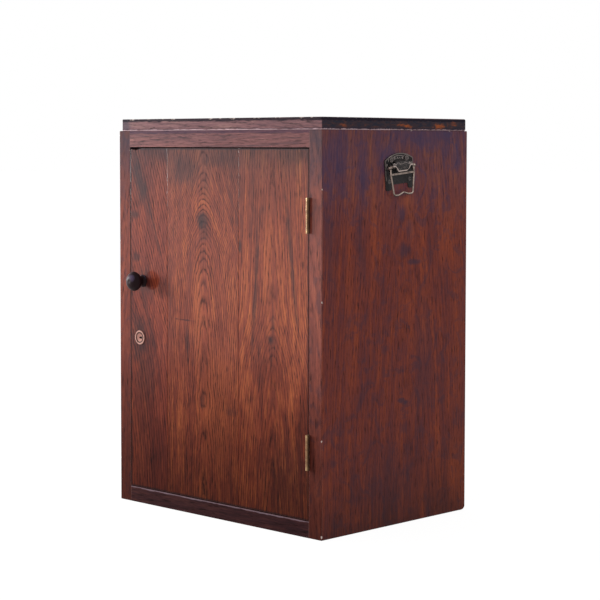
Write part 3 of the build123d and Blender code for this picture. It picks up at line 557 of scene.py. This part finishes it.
def side_teak(name, seed, heart_deep, front_tones, wax):
    """A side plank's teak; the tree's heart lies on the plank's outer side, and its inside is bare."""
    return teak(
        name,
        "YZX",
        heart=(22.0, heart_deep),
        ends=FULL_HEIGHT,
        rise=gentle_rise,
        spacing=4.5,
        seed=seed,
        tones=SIDE_TONES,
        front_tones=front_tones,
        line=0.3,
        contrast=0.6,
        stain_tone=PLUM,
        mottle=0.45,
        wax=wax,
        edge=0.7,
        inside=("X", -1 if heart_deep > 0 else 1),
        stains=[
            ((10, 460), (12, 14), 0.7),
            ((28, 436), (9, 20), 0.6),
            ((16, 405), (16, 12), 0.7),
            ((38, 388), (22, 5), 0.8),
            ((8, 184), (11, 4), 0.8),
            ((20, 180), (8, 4), 0.8),
            ((-135, 540), (40, 60), 0.5),
            ((-75, 520), (14, 60), 0.5),
            ((-20, 540), (30, 34), 0.6),
            ((60, 575), (110, 24), 0.55),
            ((134, 540), (14, 26), 0.5),
            ((-146, 420), (14, 140), 0.45),
            ((-80, 400), (12, 60), 0.35),
            ((60, 250), (26, 110), 0.35),
            ((-20, 60), (60, 70), 0.3),
        ],
        glows=[
            ((-105, 300), (9, 260), 0.25),
            ((-52, 440), (8, 110), 0.35),
            ((12, 120), (4, 56), 0.4),
            ((30, 440), (7, 26), 0.5),
            ((20, 480), (10, 12), 0.35),
            ((112, 420), (18, 60), 0.35),
            ((140, 60), (26, 70), 0.4),
            ((140, 300), (14, 240), 0.2),
        ],
    )


finishes["side_right"] = side_teak("teak_side_right", 21.0, 120.0, STILE_TONES, wax=1.0)
finishes["side_left"] = side_teak("teak_side_left", 35.0, -120.0, LEFT_STILE_TONES, wax=0.45)

# Each row: node, order of axes, heart, ends, rise, seed, tones, and how glossy it is off the front.
UPRIGHT, LENGTHWISE = (FULL_HEIGHT, gentle_rise), (WIDE_ENDS, wide_rise)
CROSSWISE = ((-160.0, 160.0), [(-160, 4), (160, 16)])
plain_boards = [
    ("top_rail_front", "ZXY", (660.0, -200.0), LENGTHWISE, 41.0, RAIL_TONES, 0.1),
    ("top_rail_back", "ZXY", (660.0, -200.0), LENGTHWISE, 44.0, DULL_TONES, 0.1),
    ("bottom_board_front", "YXZ", (-40.0, 90.0), LENGTHWISE, 51.0, FOOT_TONES, 0.1),
    ("bottom_board_rear", "YXZ", (-40.0, 90.0), LENGTHWISE, 54.0, DULL_TONES, 0.1),
    ("shelf", "YXZ", (40.0, 230.0), LENGTHWISE, 81.0, DULL_TONES, 0.1),
    ("shelf_cleat_left", "ZYX", (230.0, 100.0), CROSSWISE, 84.0, DULL_TONES, 0.1),
    ("shelf_cleat_right", "ZYX", (230.0, 100.0), CROSSWISE, 86.0, DULL_TONES, 0.1),
    ("door_stop_lower", "XZY", (-150.0, -100.0), UPRIGHT, 87.0, DULL_TONES, 0.1),
    ("door_stop_upper", "XZY", (-150.0, -100.0), UPRIGHT, 89.0, DULL_TONES, 0.1),
    ("door_batten_lower", "ZXY", (200.0, -60.0), LENGTHWISE, 91.0, DULL_TONES, 0.15),
    ("door_batten_upper", "ZXY", (200.0, -60.0), LENGTHWISE, 93.0, DULL_TONES, 0.15),
    ("back_board_left", "XZY", (-140.0, 240.0), UPRIGHT, 71.0, DULL_TONES, 0.1),
    ("back_board_middle", "XZY", (0.0, 240.0), UPRIGHT, 74.0, DULL_TONES, 0.1),
    ("back_board_right", "XZY", (140.0, 240.0), UPRIGHT, 77.0, DULL_TONES, 0.1),
]
# Bands run level along the upright faces: soot under the top's upper edge, painted shade above
# the joint, and a painted highlight where two boards meet. Each row: lowest and highest level, tone and
# strength.
TOP_BANDS = [
    (595.6, 602.0, paint(28, 23, 34), 0.9),
    # Painted shade in the joint above the top board's lower edge.
    (583.6, 585.2, paint(48, 32, 46), 0.55),
    # A painted highlight along the top board's lower edge, where it meets the rail.
    (581.0, 583.4, paint(214, 184, 190), 0.65),
]
level_bands = {
    "top_rail_front": [(577.5, 583.0, paint(62, 46, 68), 0.6)],
    # A painted highlight along the bottom board's top edge.
    "bottom_board_front": [(22.4, 25.0, paint(150, 128, 138), 0.5)],
}
for name, order, heart, (ends, rise), seed, tones, gloss in plain_boards:
    finishes[name] = teak(
        name + "_teak",
        order,
        heart,
        ends,
        rise,
        seed=seed,
        tones=tones,
        line=0.45,
        side_coat=gloss,
        bands=level_bands.get(name, ()),
    )

TOP_END_PATCHES = [
    ((-114, 588), (16, 5), 0.5),
    ((10, 590), (16, 6), 0.55),
    ((26, 588), (10, 4), 0.9),
    ((94, 588), (17, 6), 1.2),
    ((126, 592), (13, 6), 0.6),
]
for name, seed in (("top_board_front", 61.0), ("top_board_rear", 64.0)):
    finishes[name] = teak(
        name + "_teak",
        "YXZ",
        heart=(-60.0, 520.0),
        ends=WIDE_ENDS,
        rise=wide_rise,
        seed=seed,
        tones=TOP_TONES,
        line=0.5,
        end_patches=TOP_END_PATCHES,
        bands=TOP_BANDS,
        edge=0.1,
        stain_tone=PLUM,
        stains=[((-165, -207), (60, 14), 0.7)],
    )
print("boards painted:", len(finishes))

# %% [markdown]
# Old metal is never one colour. Hands rub the proud edges bright, and grime stays in the hollows.
# A Bevel node finds the edges, and an Ambient Occlusion node finds the hollows.

# %% Metal finishes
GRIME = paint(26, 20, 18)


def metal(name, base, worn, roughness, metallic=0.9, wear=0.5, specular=0.5, soil=0.8, paint_over=None):
    """Old metal: a worn colour on its edges, grime in the hollows, and fine scratches.

    Paint_over is a function of the finish, the place in millimetres and the colour so far.
    """
    f = Finish(name)
    x, y, z = f.axes()
    place = f.point(x, y, z)
    patches = f.noise(place, 0.3, 3.0, 0.6)
    scratch = f.noise(f.point(x * 1.6, y * 1.6, z * 0.5), 1.0, 2.0)
    proud = f.step(f.corner(0.7) + (patches - 0.5) * 0.3, 0.02, 0.3)
    scraped = f.step(patches * 0.6 + scratch * 0.4, 0.52, 0.68) * (wear * 0.6)
    rubbed = f.math("MINIMUM", proud * wear + scraped, 1.0)
    soiled = f.math("MINIMUM", f.step(f.hollow(3.0) + (scratch - 0.5) * 0.3, 0.25, 0.75) * soil, 1.0)
    colour = f.mix(rubbed, base, worn)
    colour = f.mix(soiled, colour, GRIME)
    if paint_over:
        colour = paint_over(f, x, y, z, colour)
    return f.surface(
        Base_Color=colour,
        Metallic=metallic - soiled * (metallic * 0.6),
        Roughness=roughness + soiled * 0.25 - rubbed * 0.05,
        Specular_IOR_Level=specular,
        Normal=f.bump(scratch * 0.6 + patches * 0.4, 0.03),
    )


# Where the fittings are, in millimetres.
HINGE_LEVELS = (460.7, 123.4)  # heights of the hinges' middles
# Painted shade: the hinge barrel's right side is darkened from the first x to the second.
BARREL_SHADE = (194.6, 196.6)  # the hinge barrel darkens from the first x to the second
LOCK_X, LOCK_Z = -172.0, 260.4
PIVOT_Y, PIVOT_Z = 1.4, 529.0  # the handles' pins
PLANK_FACE = 220.0  # a side plank's outer face
RIGHT_TILT = radians(5)


def hinge_tone(f, x, y, z, colour):
    """The barrel is rubbed pale at its two ends, and has painted shade along its right side."""
    near_end = 0.0
    for level in HINGE_LEVELS:
        away = f.math("ABSOLUTE", z - level)
        near_end = near_end + f.step(away, 16.0, 24.0) * f.step(away, 25.0, 40.0, 1.0, 0.0)
    colour = f.mix(near_end * 0.5, colour, paint(208, 176, 128))
    tarnish = f.step(f.noise(f.point(0.0, 0.0, z / 7), detail=2.0), 0.46, 0.62)
    colour = f.mix(tarnish * 0.55, colour, paint(92, 66, 44))
    # Painted shade along the barrel's right side.
    return f.mix(f.step(x, *BARREL_SHADE) * 0.75, colour, paint(62, 40, 28))


def lock_tone(f, x, y, z, colour):
    """A pale rim, painted shade in the groove and keyhole, and a brown face: painted shade upper left,
    painted bright arc lower right.
    """
    right, up = x - LOCK_X, z - LOCK_Z
    radius = f.math("SQRT", right * right + up * up)
    face = f.step(y, -161.6, -140.0, 1.0, 0.0)
    # Painted shade in the groove, and on the face's upper left, which leaves a painted bright arc lower
    # right.
    groove = f.step(radius, 8.9, 8.2) * f.step(radius, 6.2, 6.9)
    brown_and_shade = f.step(radius, 9.0, 8.4) * f.step(right - up, -3.0, 7.0, 1.0, 0.3)
    colour = f.mix(brown_and_shade * face * 0.8, colour, paint(116, 72, 62))
    # Painted shade in the keyhole.
    hole = f.step(f.math("ABSOLUTE", up), 2.6, 1.4) * f.step(right, -0.5, 1.5) * f.step(right, 6.5, 5.5)
    dark = f.math("MAXIMUM", groove * 0.85, hole * 0.9)
    return f.mix(dark * face, colour, paint(40, 24, 24))


def bail_tone(f, x, y, z, colour):
    """Painted light on the wire's upper, front side and painted shade on its under side; tarnish spots it.
    """
    across_x, across_y, up = f.normals()
    # Painted light and shade: lighter where the wire faces up and forward, much darker on its under side.
    lit = f.step(up * 0.8 - across_y * 0.5, -0.5, 0.5)
    tarnish = f.step(f.noise(f.point(x / 6, y / 6, z / 9), detail=2.0), 0.48, 0.64)
    colour = f.mix(tarnish * 0.6, colour, paint(84, 68, 64))
    return colour * f.mix(lit, (0.12, 0.11, 0.11), (1.2, 1.13, 1.08))


def knob_tone(f, x, y, z, colour):
    """A painted highlight on the knob's left cheek and a painted purplish reflection on its front."""
    across_x, across_y, up = f.normals()
    # Painted highlight on the knob's left cheek.
    painted_cheek_light = f.step(across_x * -1 - across_y * 0.35 + up * 0.35, 0.3, 1.05)
    colour = f.mix(painted_cheek_light * 0.6, colour, paint(112, 82, 88))
    # A painted purplish reflection on the knob's front.
    painted_shine = f.step(across_x * 0.25 - across_y * 0.9 + up * 0.35, 0.9, 1.0)
    return f.mix(painted_shine * 0.5, colour, paint(104, 88, 118))


def handle_tone(side, tilt):
    """Pale metal on a handle's lip bead, rim and bosses, as wear and painted highlight, and pale stamped
    flecks on its hood.
    """

    def tone(f, x, y, z, colour):
        along_y, up_z = y - PIVOT_Y, z - PIVOT_Z
        u = (along_y * cos(tilt) + up_z * sin(tilt)) * side
        v = up_z * cos(tilt) - along_y * sin(tilt)
        proud = x * side - PLANK_FACE
        out = f.math("ABSOLUTE", u)
        hood = f.step(proud, 2.8, 3.6)
        lip = f.step(out, 9.0, 17.5) * 7.9 - 5.9
        bead = f.step(f.math("ABSOLUTE", v - lip), 1.3, 0.7) * hood
        rim = f.step(proud, 1.5, 1.75) * f.step(proud, 2.0, 1.9)
        boss = f.step(proud, 2.25, 2.35) * f.step(proud, 2.8, 2.6)
        fleck = f.noise(f.point(u / 1.3, v / 2.6, 0.0), detail=2.0, roughness=0.6)
        patch = f.noise(f.point(u / 6, v / 6, 3.0), detail=2.0)
        stamped = f.step(fleck, 0.5, 0.62) * f.step(patch, 0.4, 0.6, 0.25, 1.0) * hood
        # Pale lip bead, rim and bosses: wear and painted highlight.
        edges = f.math("MAXIMUM", bead, rim * 0.22)
        wear_and_highlight = f.math("MAXIMUM", edges, f.math("MAXIMUM", boss * 0.22, stamped * 0.3))
        return f.mix(wear_and_highlight, colour, paint(186, 168, 160))

    return tone


# Each look is a base colour, a worn colour and a roughness. The knob is dark wood, but a hand wears
# it as it wears metal.
hinge_look = (paint(146, 110, 76), paint(192, 158, 114), 0.4)
lock_look = (paint(170, 126, 114), paint(216, 180, 168), 0.4)
bail_look = (paint(150, 136, 128), paint(222, 208, 198), 0.36)
screw_look = (paint(66, 58, 57), paint(122, 110, 106), 0.45)
iron_look = (paint(44, 36, 34), paint(74, 62, 56), 0.6)
knob_look = (paint(34, 20, 23), paint(50, 34, 40), 0.42)
plate_look = (paint(30, 27, 28), paint(84, 76, 74), 0.45)
stamp_look = (paint(112, 100, 98), paint(186, 170, 162), 0.4)
lock_wear = {"metallic": 0.6, "wear": 0.7, "specular": 0.2, "soil": 0.4}
knob_wear = {"metallic": 0.0, "wear": 0.3, "specular": 0.07}
plate_wear = {"metallic": 0.2, "specular": 0.16}

brass = metal("hinge_brass_finish", *hinge_look, metallic=0.7, wear=0.6, paint_over=hinge_tone)
pale_brass = metal("lock_brass_finish", *lock_look, **lock_wear, paint_over=lock_tone)
worn_bronze = metal("bail_bronze_finish", *bail_look, metallic=0.7, wear=0.8, paint_over=bail_tone)
screw_bronze = metal("screw_bronze_finish", *screw_look, metallic=0.5, wear=0.6)
iron = metal("old_iron_finish", *iron_look, metallic=0.7)
knob_wood = metal("knob_wood_finish", *knob_look, **knob_wear, paint_over=knob_tone)
right_tone, left_tone = handle_tone(1, RIGHT_TILT), handle_tone(-1, 0.0)
right_bronze = metal("plate_right_bronze_finish", *plate_look, **plate_wear, paint_over=right_tone)
left_bronze = metal("plate_left_bronze_finish", *plate_look, **plate_wear, paint_over=left_tone)

# The first name here that a piece's own name starts with gives its finish.
metal_of = {
    "hinge": brass,
    "lock": pale_brass,
    "strike": pale_brass,
    "handle_plate_right": right_bronze,
    "handle_plate_left": left_bronze,
    "handle_screws": screw_bronze,
    "handle": worn_bronze,
    "top_nails": iron,
    "back_nails": iron,
    "lath_nails": iron,
    "batten_nails": iron,
    "knob_screw": iron,
    "knob": knob_wood,
}
for name in nodes:
    if name not in finishes:
        finishes[name] = next(m for key, m in metal_of.items() if name.startswith(key))

for name, node in nodes.items():
    node.data.materials.clear()
    node.data.materials.append(finishes[name])
print("finishes:", len(finishes))

# %% [markdown]
# Years of knocks have rounded the cabinet's outer edges and chipped them. Each worn board is a copy
# of its own solid with two things taken away: what lies outside a box with rounded edges, and a set
# of rough bites along an edge. The bites carry their own finish, so that bare timber shows where the
# old surface has gone.

# %% Chips and rounded edges
MERGE = 1e-6  # corners closer than this are one corner, in metres
SHARP = radians(28)  # edges that turn more than this stay sharp
FLAT = 0.9998  # a face whose normal lies this close to an axis is flat
SEAM = 5.0  # how far the rounding box runs past a face that meets another board, in millimetres
SKIM = 0.02  # how far it stands off a board's other faces, so that it shaves none of them
ALL_OFF = (SKIM, SKIM, SKIM)
CHIP_ROOM = 1.2  # least distance between two chips, in shares of their half sizes added together
NICK_SIZES = ((0.8, 0.7, 0.7), (7.5, 2.4, 2.6))
END_NICK_SIZES = ((0.5, 0.8, 0.5), (1.2, 2.4, 1.2))
REAR_NICK_SIZES = ((0.5, 0.8, 0.5), (1.1, 2.2, 1.1))


def bare_timber(name, dark, light):
    """Timber without its old surface: pale, with a little dirt in it."""
    f = Finish(name)
    x, y, z = f.axes()
    dirt = f.noise(f.point(x / 1.6, y / 1.6, z / 1.6), detail=3.0, roughness=0.6)
    colour = f.ramp(dirt, [(0.4, dark), (0.6, light)])
    return f.surface(Base_Color=colour, Roughness=0.8, Specular_IOR_Level=0.1)


def held(name, mesh, *materials):
    """An object for a mesh, with its materials, linked into the scene."""
    for material in materials:
        mesh.materials.append(material)
    holder = bpy.data.objects.new(name, mesh)
    bpy.context.collection.objects.link(holder)
    return holder


def mesh_of(name, shape):
    """A mesh made from a bmesh, which is freed."""
    mesh = bpy.data.meshes.new(name)
    shape.to_mesh(mesh)
    shape.free()
    return mesh


def rounded_box(low, high, radius):
    """A box with its edges rounded; all in metres."""
    shape = bmesh.new()
    middle, size = (low + high) / 2, high - low
    placing = Matrix.Translation(middle) @ Matrix.Diagonal((*size, 1))
    bmesh.ops.create_cube(shape, size=1.0, matrix=placing)
    bmesh.ops.bevel(shape, geom=shape.edges[:], offset=radius, segments=4, profile=0.5, affect="EDGES")
    return mesh_of("rounded_box", shape)


def bites(chips, seed):
    """One rough lump for each chip, which is (centre, half sizes) in millimetres."""
    pick = Random(seed)
    shape = bmesh.new()
    for centre, size in chips:
        lump = bmesh.ops.create_icosphere(shape, subdivisions=2, radius=1.0)["verts"]
        turned = Matrix.Rotation(pick.uniform(0, pi), 4, "Z") @ Matrix.Rotation(pick.uniform(0, pi), 4, "X")
        stretch = Matrix.Translation(Vector(centre) * MM) @ Matrix.Diagonal((*(Vector(size) * MM), 1))
        for vert in lump:
            vert.co = stretch @ (turned @ (vert.co * pick.uniform(0.78, 1.12)))
    return mesh_of("bites", shape)


def along_edge(start, end, count, sizes, seed):
    """Up to count chips along an edge, unevenly and with none overlapping the one before it.

    Sizes are the smallest and the largest half sizes.
    """
    pick = Random(seed)
    start, end = Vector(start), Vector(end)
    chips = []
    for index in range(count):
        place = start.lerp(end, (index + pick.uniform(0.05, 0.95)) / count)
        share = pick.random() ** 2  # most chips are small
        size = [small + (large - small) * share for small, large in zip(*sizes)]
        room = CHIP_ROOM * (max(size) + max(chips[-1][1])) if chips else 0
        if not chips or (place - chips[-1][0]).length > room:
            chips.append((place, size))
    return chips


def worn(name, slot, radius, reach, chips=(), seed=1, chip_finish=None):
    """Put a board with rounded outer edges and chips in the place of a plain one.

    Reach says how far the rounding box's faces lie outside the board, on its low and high sides.
    """
    shape = bmesh.new()
    shape.from_mesh(nodes[name].data)
    bmesh.ops.remove_doubles(shape, verts=shape.verts[:], dist=MERGE)
    open_edges = sum(1 for edge in shape.edges if len(edge.link_faces) != 2)
    board = mesh_of(name + "_worn", shape)
    piece = held(name + "_worn", board, finishes[name], chip_finish or finishes[name])
    low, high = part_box(name)
    low_reach, high_reach = (Vector(r) * MM for r in reach)
    envelope = rounded_box(low - low_reach, high + high_reach, radius * MM)
    cutters = [("INTERSECT", held("round", envelope, finishes[name]))]
    if chips:
        cutters.append(("DIFFERENCE", held("chips", bites(chips, seed), chip_finish)))
    for operation, cutter in cutters:
        step = piece.modifiers.new(cutter.name, "BOOLEAN")
        step.operation, step.object = operation, cutter
        step.solver, step.material_mode = "EXACT", "TRANSFER"
        step.use_self = operation == "DIFFERENCE"  # a rough lump may fold over itself
    made = bpy.data.meshes.new_from_object(piece.evaluated_get(bpy.context.evaluated_depsgraph_get()))
    piece.modifiers.clear()
    piece.data = made
    made.name = piece.name
    for _, cutter in cutters:
        bpy.data.objects.remove(cutter)
    made.set_sharp_from_angle(angle=SHARP)
    for face in made.polygons:  # only the curved faces are smooth, so that the flat ones stay flat
        face.use_smooth = max(abs(part) for part in face.normal) < FLAT
    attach(piece, "carcass")
    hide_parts(name)
    print(name, "open edges", open_edges, "faces", len(made.polygons), "materials", len(made.materials))


def box_mm(name):
    """A piece's lowest and highest corner, in millimetres."""
    return [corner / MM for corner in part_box(name)]


nick = bare_timber("nicked_timber", paint(92, 70, 70), paint(206, 190, 182))
ding = bare_timber("dinged_timber", paint(176, 156, 146), paint(232, 222, 216))

low, high = box_mm("top_board_front")
front_corner = (high.x, low.y, high.z)
front_nicks = along_edge((low.x, low.y, high.z), front_corner, 34, NICK_SIZES, 5)[1:-1]
end_nicks = along_edge(front_corner, high, 9, END_NICK_SIZES, 6)[2:-1]
top_nicks = front_nicks + end_nicks
worn("top_board_front", "teak_top", 1.1, (ALL_OFF, (SKIM, SEAM, SKIM)), top_nicks, 7, nick)

low, high = box_mm("top_board_rear")
rear_nicks = along_edge((high.x, low.y, high.z), high, 9, REAR_NICK_SIZES, 8)[1:-1]
worn("top_board_rear", "teak_top", 2.4, ((SKIM, SEAM, SKIM), ALL_OFF), rear_nicks, 9, nick)

low, high = box_mm("side_right")
right_dings = [
    ((high.x, low.y, 498), (1.3, 1.3, 1.6)),
    ((high.x, low.y, 339), (1.4, 1.4, 2.0)),
    ((high.x, low.y, 142), (1.3, 1.3, 1.8)),
    ((high.x, low.y, 5), (1.6, 1.6, 2.4)),
    ((high.x, 30, high.z), (0.9, 3.0, 0.9)),
    ((high.x, 118, high.z), (0.8, 2.4, 0.8)),
]
worn("side_right", "teak_side", 1.3, ((SEAM, SKIM, SKIM), ALL_OFF), right_dings, 11, ding)

low, high = box_mm("side_left")
left_dings = [
    ((low.x, low.y, 66), (1.2, 1.2, 2.4)),
    ((low.x, low.y, 410), (1.2, 1.2, 1.4)),
    ((low.x, low.y, 575), (1.2, 1.2, 1.8)),
]
worn("side_left", "teak_side", 1.3, (ALL_OFF, (SEAM, SKIM, SKIM)), left_dings, 12, ding)
worn("bottom_board_front", "teak_rail", 1.0, ((SEAM, SKIM, SKIM), (SEAM, SEAM, SKIM)))

# %% [markdown]
# The handles' hoods are stamped with a leaf at one end, a scroll at the other and short strokes
# between them, and the crown above has a garland and scrolls. Each line is a fine raised wire that
# follows the metal: points of the pattern are projected onto the plate, and a round section is
# swept through them.

# %% Stamped ornament on the handles
# All in millimetres, measured from the handle's pin: u along the side plank, v up it.
WIRE = 0.6  # radius of a raised line
SUNK = 0.3  # how far the line's middle lies under the metal's surface
RAY_START = 40.0  # how far out from the plank the pattern is projected from
LEAST_PROUD = 0.5  # a point nearer than this to the plank has missed the plate
LARGEST_STEP = 2.8  # a line that steps in or out by more than this has run off an edge


def spiral(centre, inner, outer, turns, count=22):
    """Points on a spiral that opens from the inner radius to the outer one."""
    u0, v0 = centre
    points = []
    for index in range(count):
        share = index / (count - 1)
        reach = inner + (outer - inner) * share
        points.append((u0 + reach * cos(2 * pi * turns * share), v0 + reach * sin(2 * pi * turns * share)))
    return points


leaf = [(-18.4, 1.9), (-20.2, 3.2), (-20.0, 4.9), (-17.8, 6.1), (-15.6, 4.9), (-16.0, 3.2), (-18.4, 1.9)]
ornament = [
    leaf,
    [(-18.4, 1.9), (-18.0, 4.0), (-17.8, 6.1)],
    spiral((15.5, 3.9), 0.6, 2.2, 1.6),
    [(17.7, 3.8), (19.0, 2.6), (20.1, 3.6), (19.6, 5.2)],
    [(-15.0, 3.4), (-12.0, 5.6), (-9.0, 6.4), (-6.0, 5.6)],
    [(3.0, 5.6), (6.0, 6.4), (9.0, 5.4), (12.0, 3.2)],
]
ornament += [[(u, 3.4), (u + 0.9, 5.0)] for u in (-6.4, -3.8, -1.2, 1.4)]
garland = [(u, 16.4 - u * u / 60) for u in range(-12, 13, 2)]
ornament += [
    garland,
    spiral((-8.6, 12.6), 0.5, 1.9, 1.3),
    spiral((8.6, 12.6), 0.5, 1.9, -1.3),
    [(-4.0, 11.6), (-2.0, 13.6), (0.0, 11.8), (2.0, 13.6), (4.0, 11.6)],
]
BOSS_U, BOSS_V, BOSS_ARC = 16.7, 11.2, 5.6  # a boss's middle, and the radius of the arc round it
turn_angles = [radians(angle) for angle in range(-20, 131, 15)]
for end in (-1, 1):
    ornament.append([(end * (BOSS_U + BOSS_ARC * cos(a)), BOSS_V + BOSS_ARC * sin(a)) for a in turn_angles])
    ornament.append([(end * 25.5, -2.0), (end * 27.2, 2.5), (end * 26.0, 6.0), (end * 24.4, 3.0)])


def stamp(side, tilt, name):
    """Lay the ornament on one handle's plate as raised lines."""
    plate = nodes[f"handle_plate_{name}"]
    tree = BVHTree.FromObject(plate, bpy.context.evaluated_depsgraph_get())
    curve = bpy.data.curves.new(f"stamp_{name}", "CURVE")
    curve.dimensions = "3D"
    curve.bevel_depth = WIRE * MM
    curve.bevel_resolution = 1
    curve.use_fill_caps = True
    laid = 0
    for line in ornament:
        places = []
        for u, v in line:
            along_y = (u * cos(tilt) - v * sin(tilt) * side) * side
            up_z = v * cos(tilt) + u * sin(tilt) * side
            start = Vector((side * (PLANK_FACE + RAY_START), PIVOT_Y + along_y, PIVOT_Z + up_z)) * MM
            hit = tree.ray_cast(start, Vector((-side, 0, 0)))[0]
            if hit and abs(hit.x) / MM > PLANK_FACE + LEAST_PROUD:
                places.append(hit)
        steps = [abs(here.x - there.x) / MM for here, there in zip(places, places[1:])]
        if len(places) < len(line) or max(steps) > LARGEST_STEP:
            print("left out a line that runs off the plate, at", line[0])
            continue
        spline = curve.splines.new("POLY")
        spline.points.add(len(places) - 1)
        for point, place in zip(spline.points, places):
            point.co = (place.x - side * SUNK * MM, place.y, place.z, 1)
        laid += 1
    holder = bpy.data.objects.new(f"stamp_{name}", curve)
    bpy.context.collection.objects.link(holder)
    mesh = bpy.data.meshes.new_from_object(holder.evaluated_get(bpy.context.evaluated_depsgraph_get()))
    bpy.data.objects.remove(holder)
    piece = held(f"handle_ornament_{name}", mesh, stamped_bronze)
    mesh.shade_smooth()
    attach(piece, "carcass")
    print("ornament", name, "lines", laid, "faces", len(mesh.polygons))


stamped_bronze = metal("stamped_bronze_finish", *stamp_look, metallic=0.4, wear=0.8)
stamp(1, RIGHT_TILT, "right")
stamp(-1, 0.0, "left")

# %% [markdown]
# The cabinet stands on a plain pale floor in a white studio. A big soft lamp lights the front from
# well to the left, so that the knob throws a long soft shadow, and a weaker one lights the side.
# The floor and the world show white to the camera without adding light to the cabinet.

# %% Floor, walls and light
def shown(f):
    """1 where a ray from the camera, a reflection or a glass looks; 0 where light is gathered."""
    ray = f.node("ShaderNodeLightPath").socket.node
    looks = [Signal(f, ray.outputs[f"Is {kind} Ray"]) for kind in ("Camera", "Glossy", "Transmission")]
    return f.math("MAXIMUM", f.math("MAXIMUM", looks[0], looks[1]), looks[2])


FLOOR_REACH = 30.0  # half the floor's width, in metres
FLOOR_GLOW = 1.1
GLOW_SHARE = 0.85  # the rest of the floor's look is its matte surface, which keeps a faint shadow
SKY_LEVEL = 0.6
KEY_POWER, FILL_POWER = 74.0, 14.0  # watts

f = Finish("floor_finish")
matte = f.node("ShaderNodeBsdfDiffuse", {}, {"Color": (0.86, 0.85, 0.84, 1)})
glow = f.node("ShaderNodeEmission", {}, {"Color": (1, 1, 1, 1), "Strength": FLOOR_GLOW})
floor_shader = f.node("ShaderNodeMixShader", {}, {0: shown(f) * GLOW_SHARE, 1: matte, 2: glow})
f.node("ShaderNodeOutputMaterial", {}, {"Surface": floor_shader})

floor_mesh = bpy.data.meshes.new("floor")
corners = [(x * FLOOR_REACH, y * FLOOR_REACH, 0) for x, y in ((-1, -1), (1, -1), (1, 1), (-1, 1))]
floor_mesh.from_pydata(corners, [], [(0, 1, 2, 3)])
floor_mesh.materials.append(f.material)
floor_object = bpy.data.objects.new("floor", floor_mesh)
bpy.context.collection.objects.link(floor_object)

world = bpy.data.worlds.new("studio")
bpy.context.scene.world = world
world.use_nodes = True
f = Finish(tree=world.node_tree)
level = f.node("ShaderNodeMapRange", {}, {"Value": shown(f), "To Min": SKY_LEVEL})
background = f.node("ShaderNodeBackground", {}, {"Color": (1, 1, 1, 1), "Strength": level})
f.node("ShaderNodeOutputWorld", {}, {"Surface": background})


def softbox(name, place, target, side, power):
    """A square lamp that faces its target; its side is in metres."""
    lamp = bpy.data.lights.new(name, "AREA")
    lamp.shape = "RECTANGLE"
    lamp.size, lamp.size_y = side, side
    lamp.energy = power
    holder = bpy.data.objects.new(name, lamp)
    bpy.context.collection.objects.link(holder)
    holder.location = place
    holder.rotation_euler = (Vector(target) - Vector(place)).to_track_quat("-Z", "Y").to_euler()


softbox("key_lamp", (-2.4, -1.1, 0.75), (0, -0.1, 0.35), 0.7, KEY_POWER)
softbox("fill_lamp", (2.6, 0.8, 1.8), (0, 0, 0.3), 1.4, FILL_POWER)
print("lamps:", [lamp.name for lamp in bpy.data.lights])

bpy.context.scene.view_settings.view_transform = "Standard"
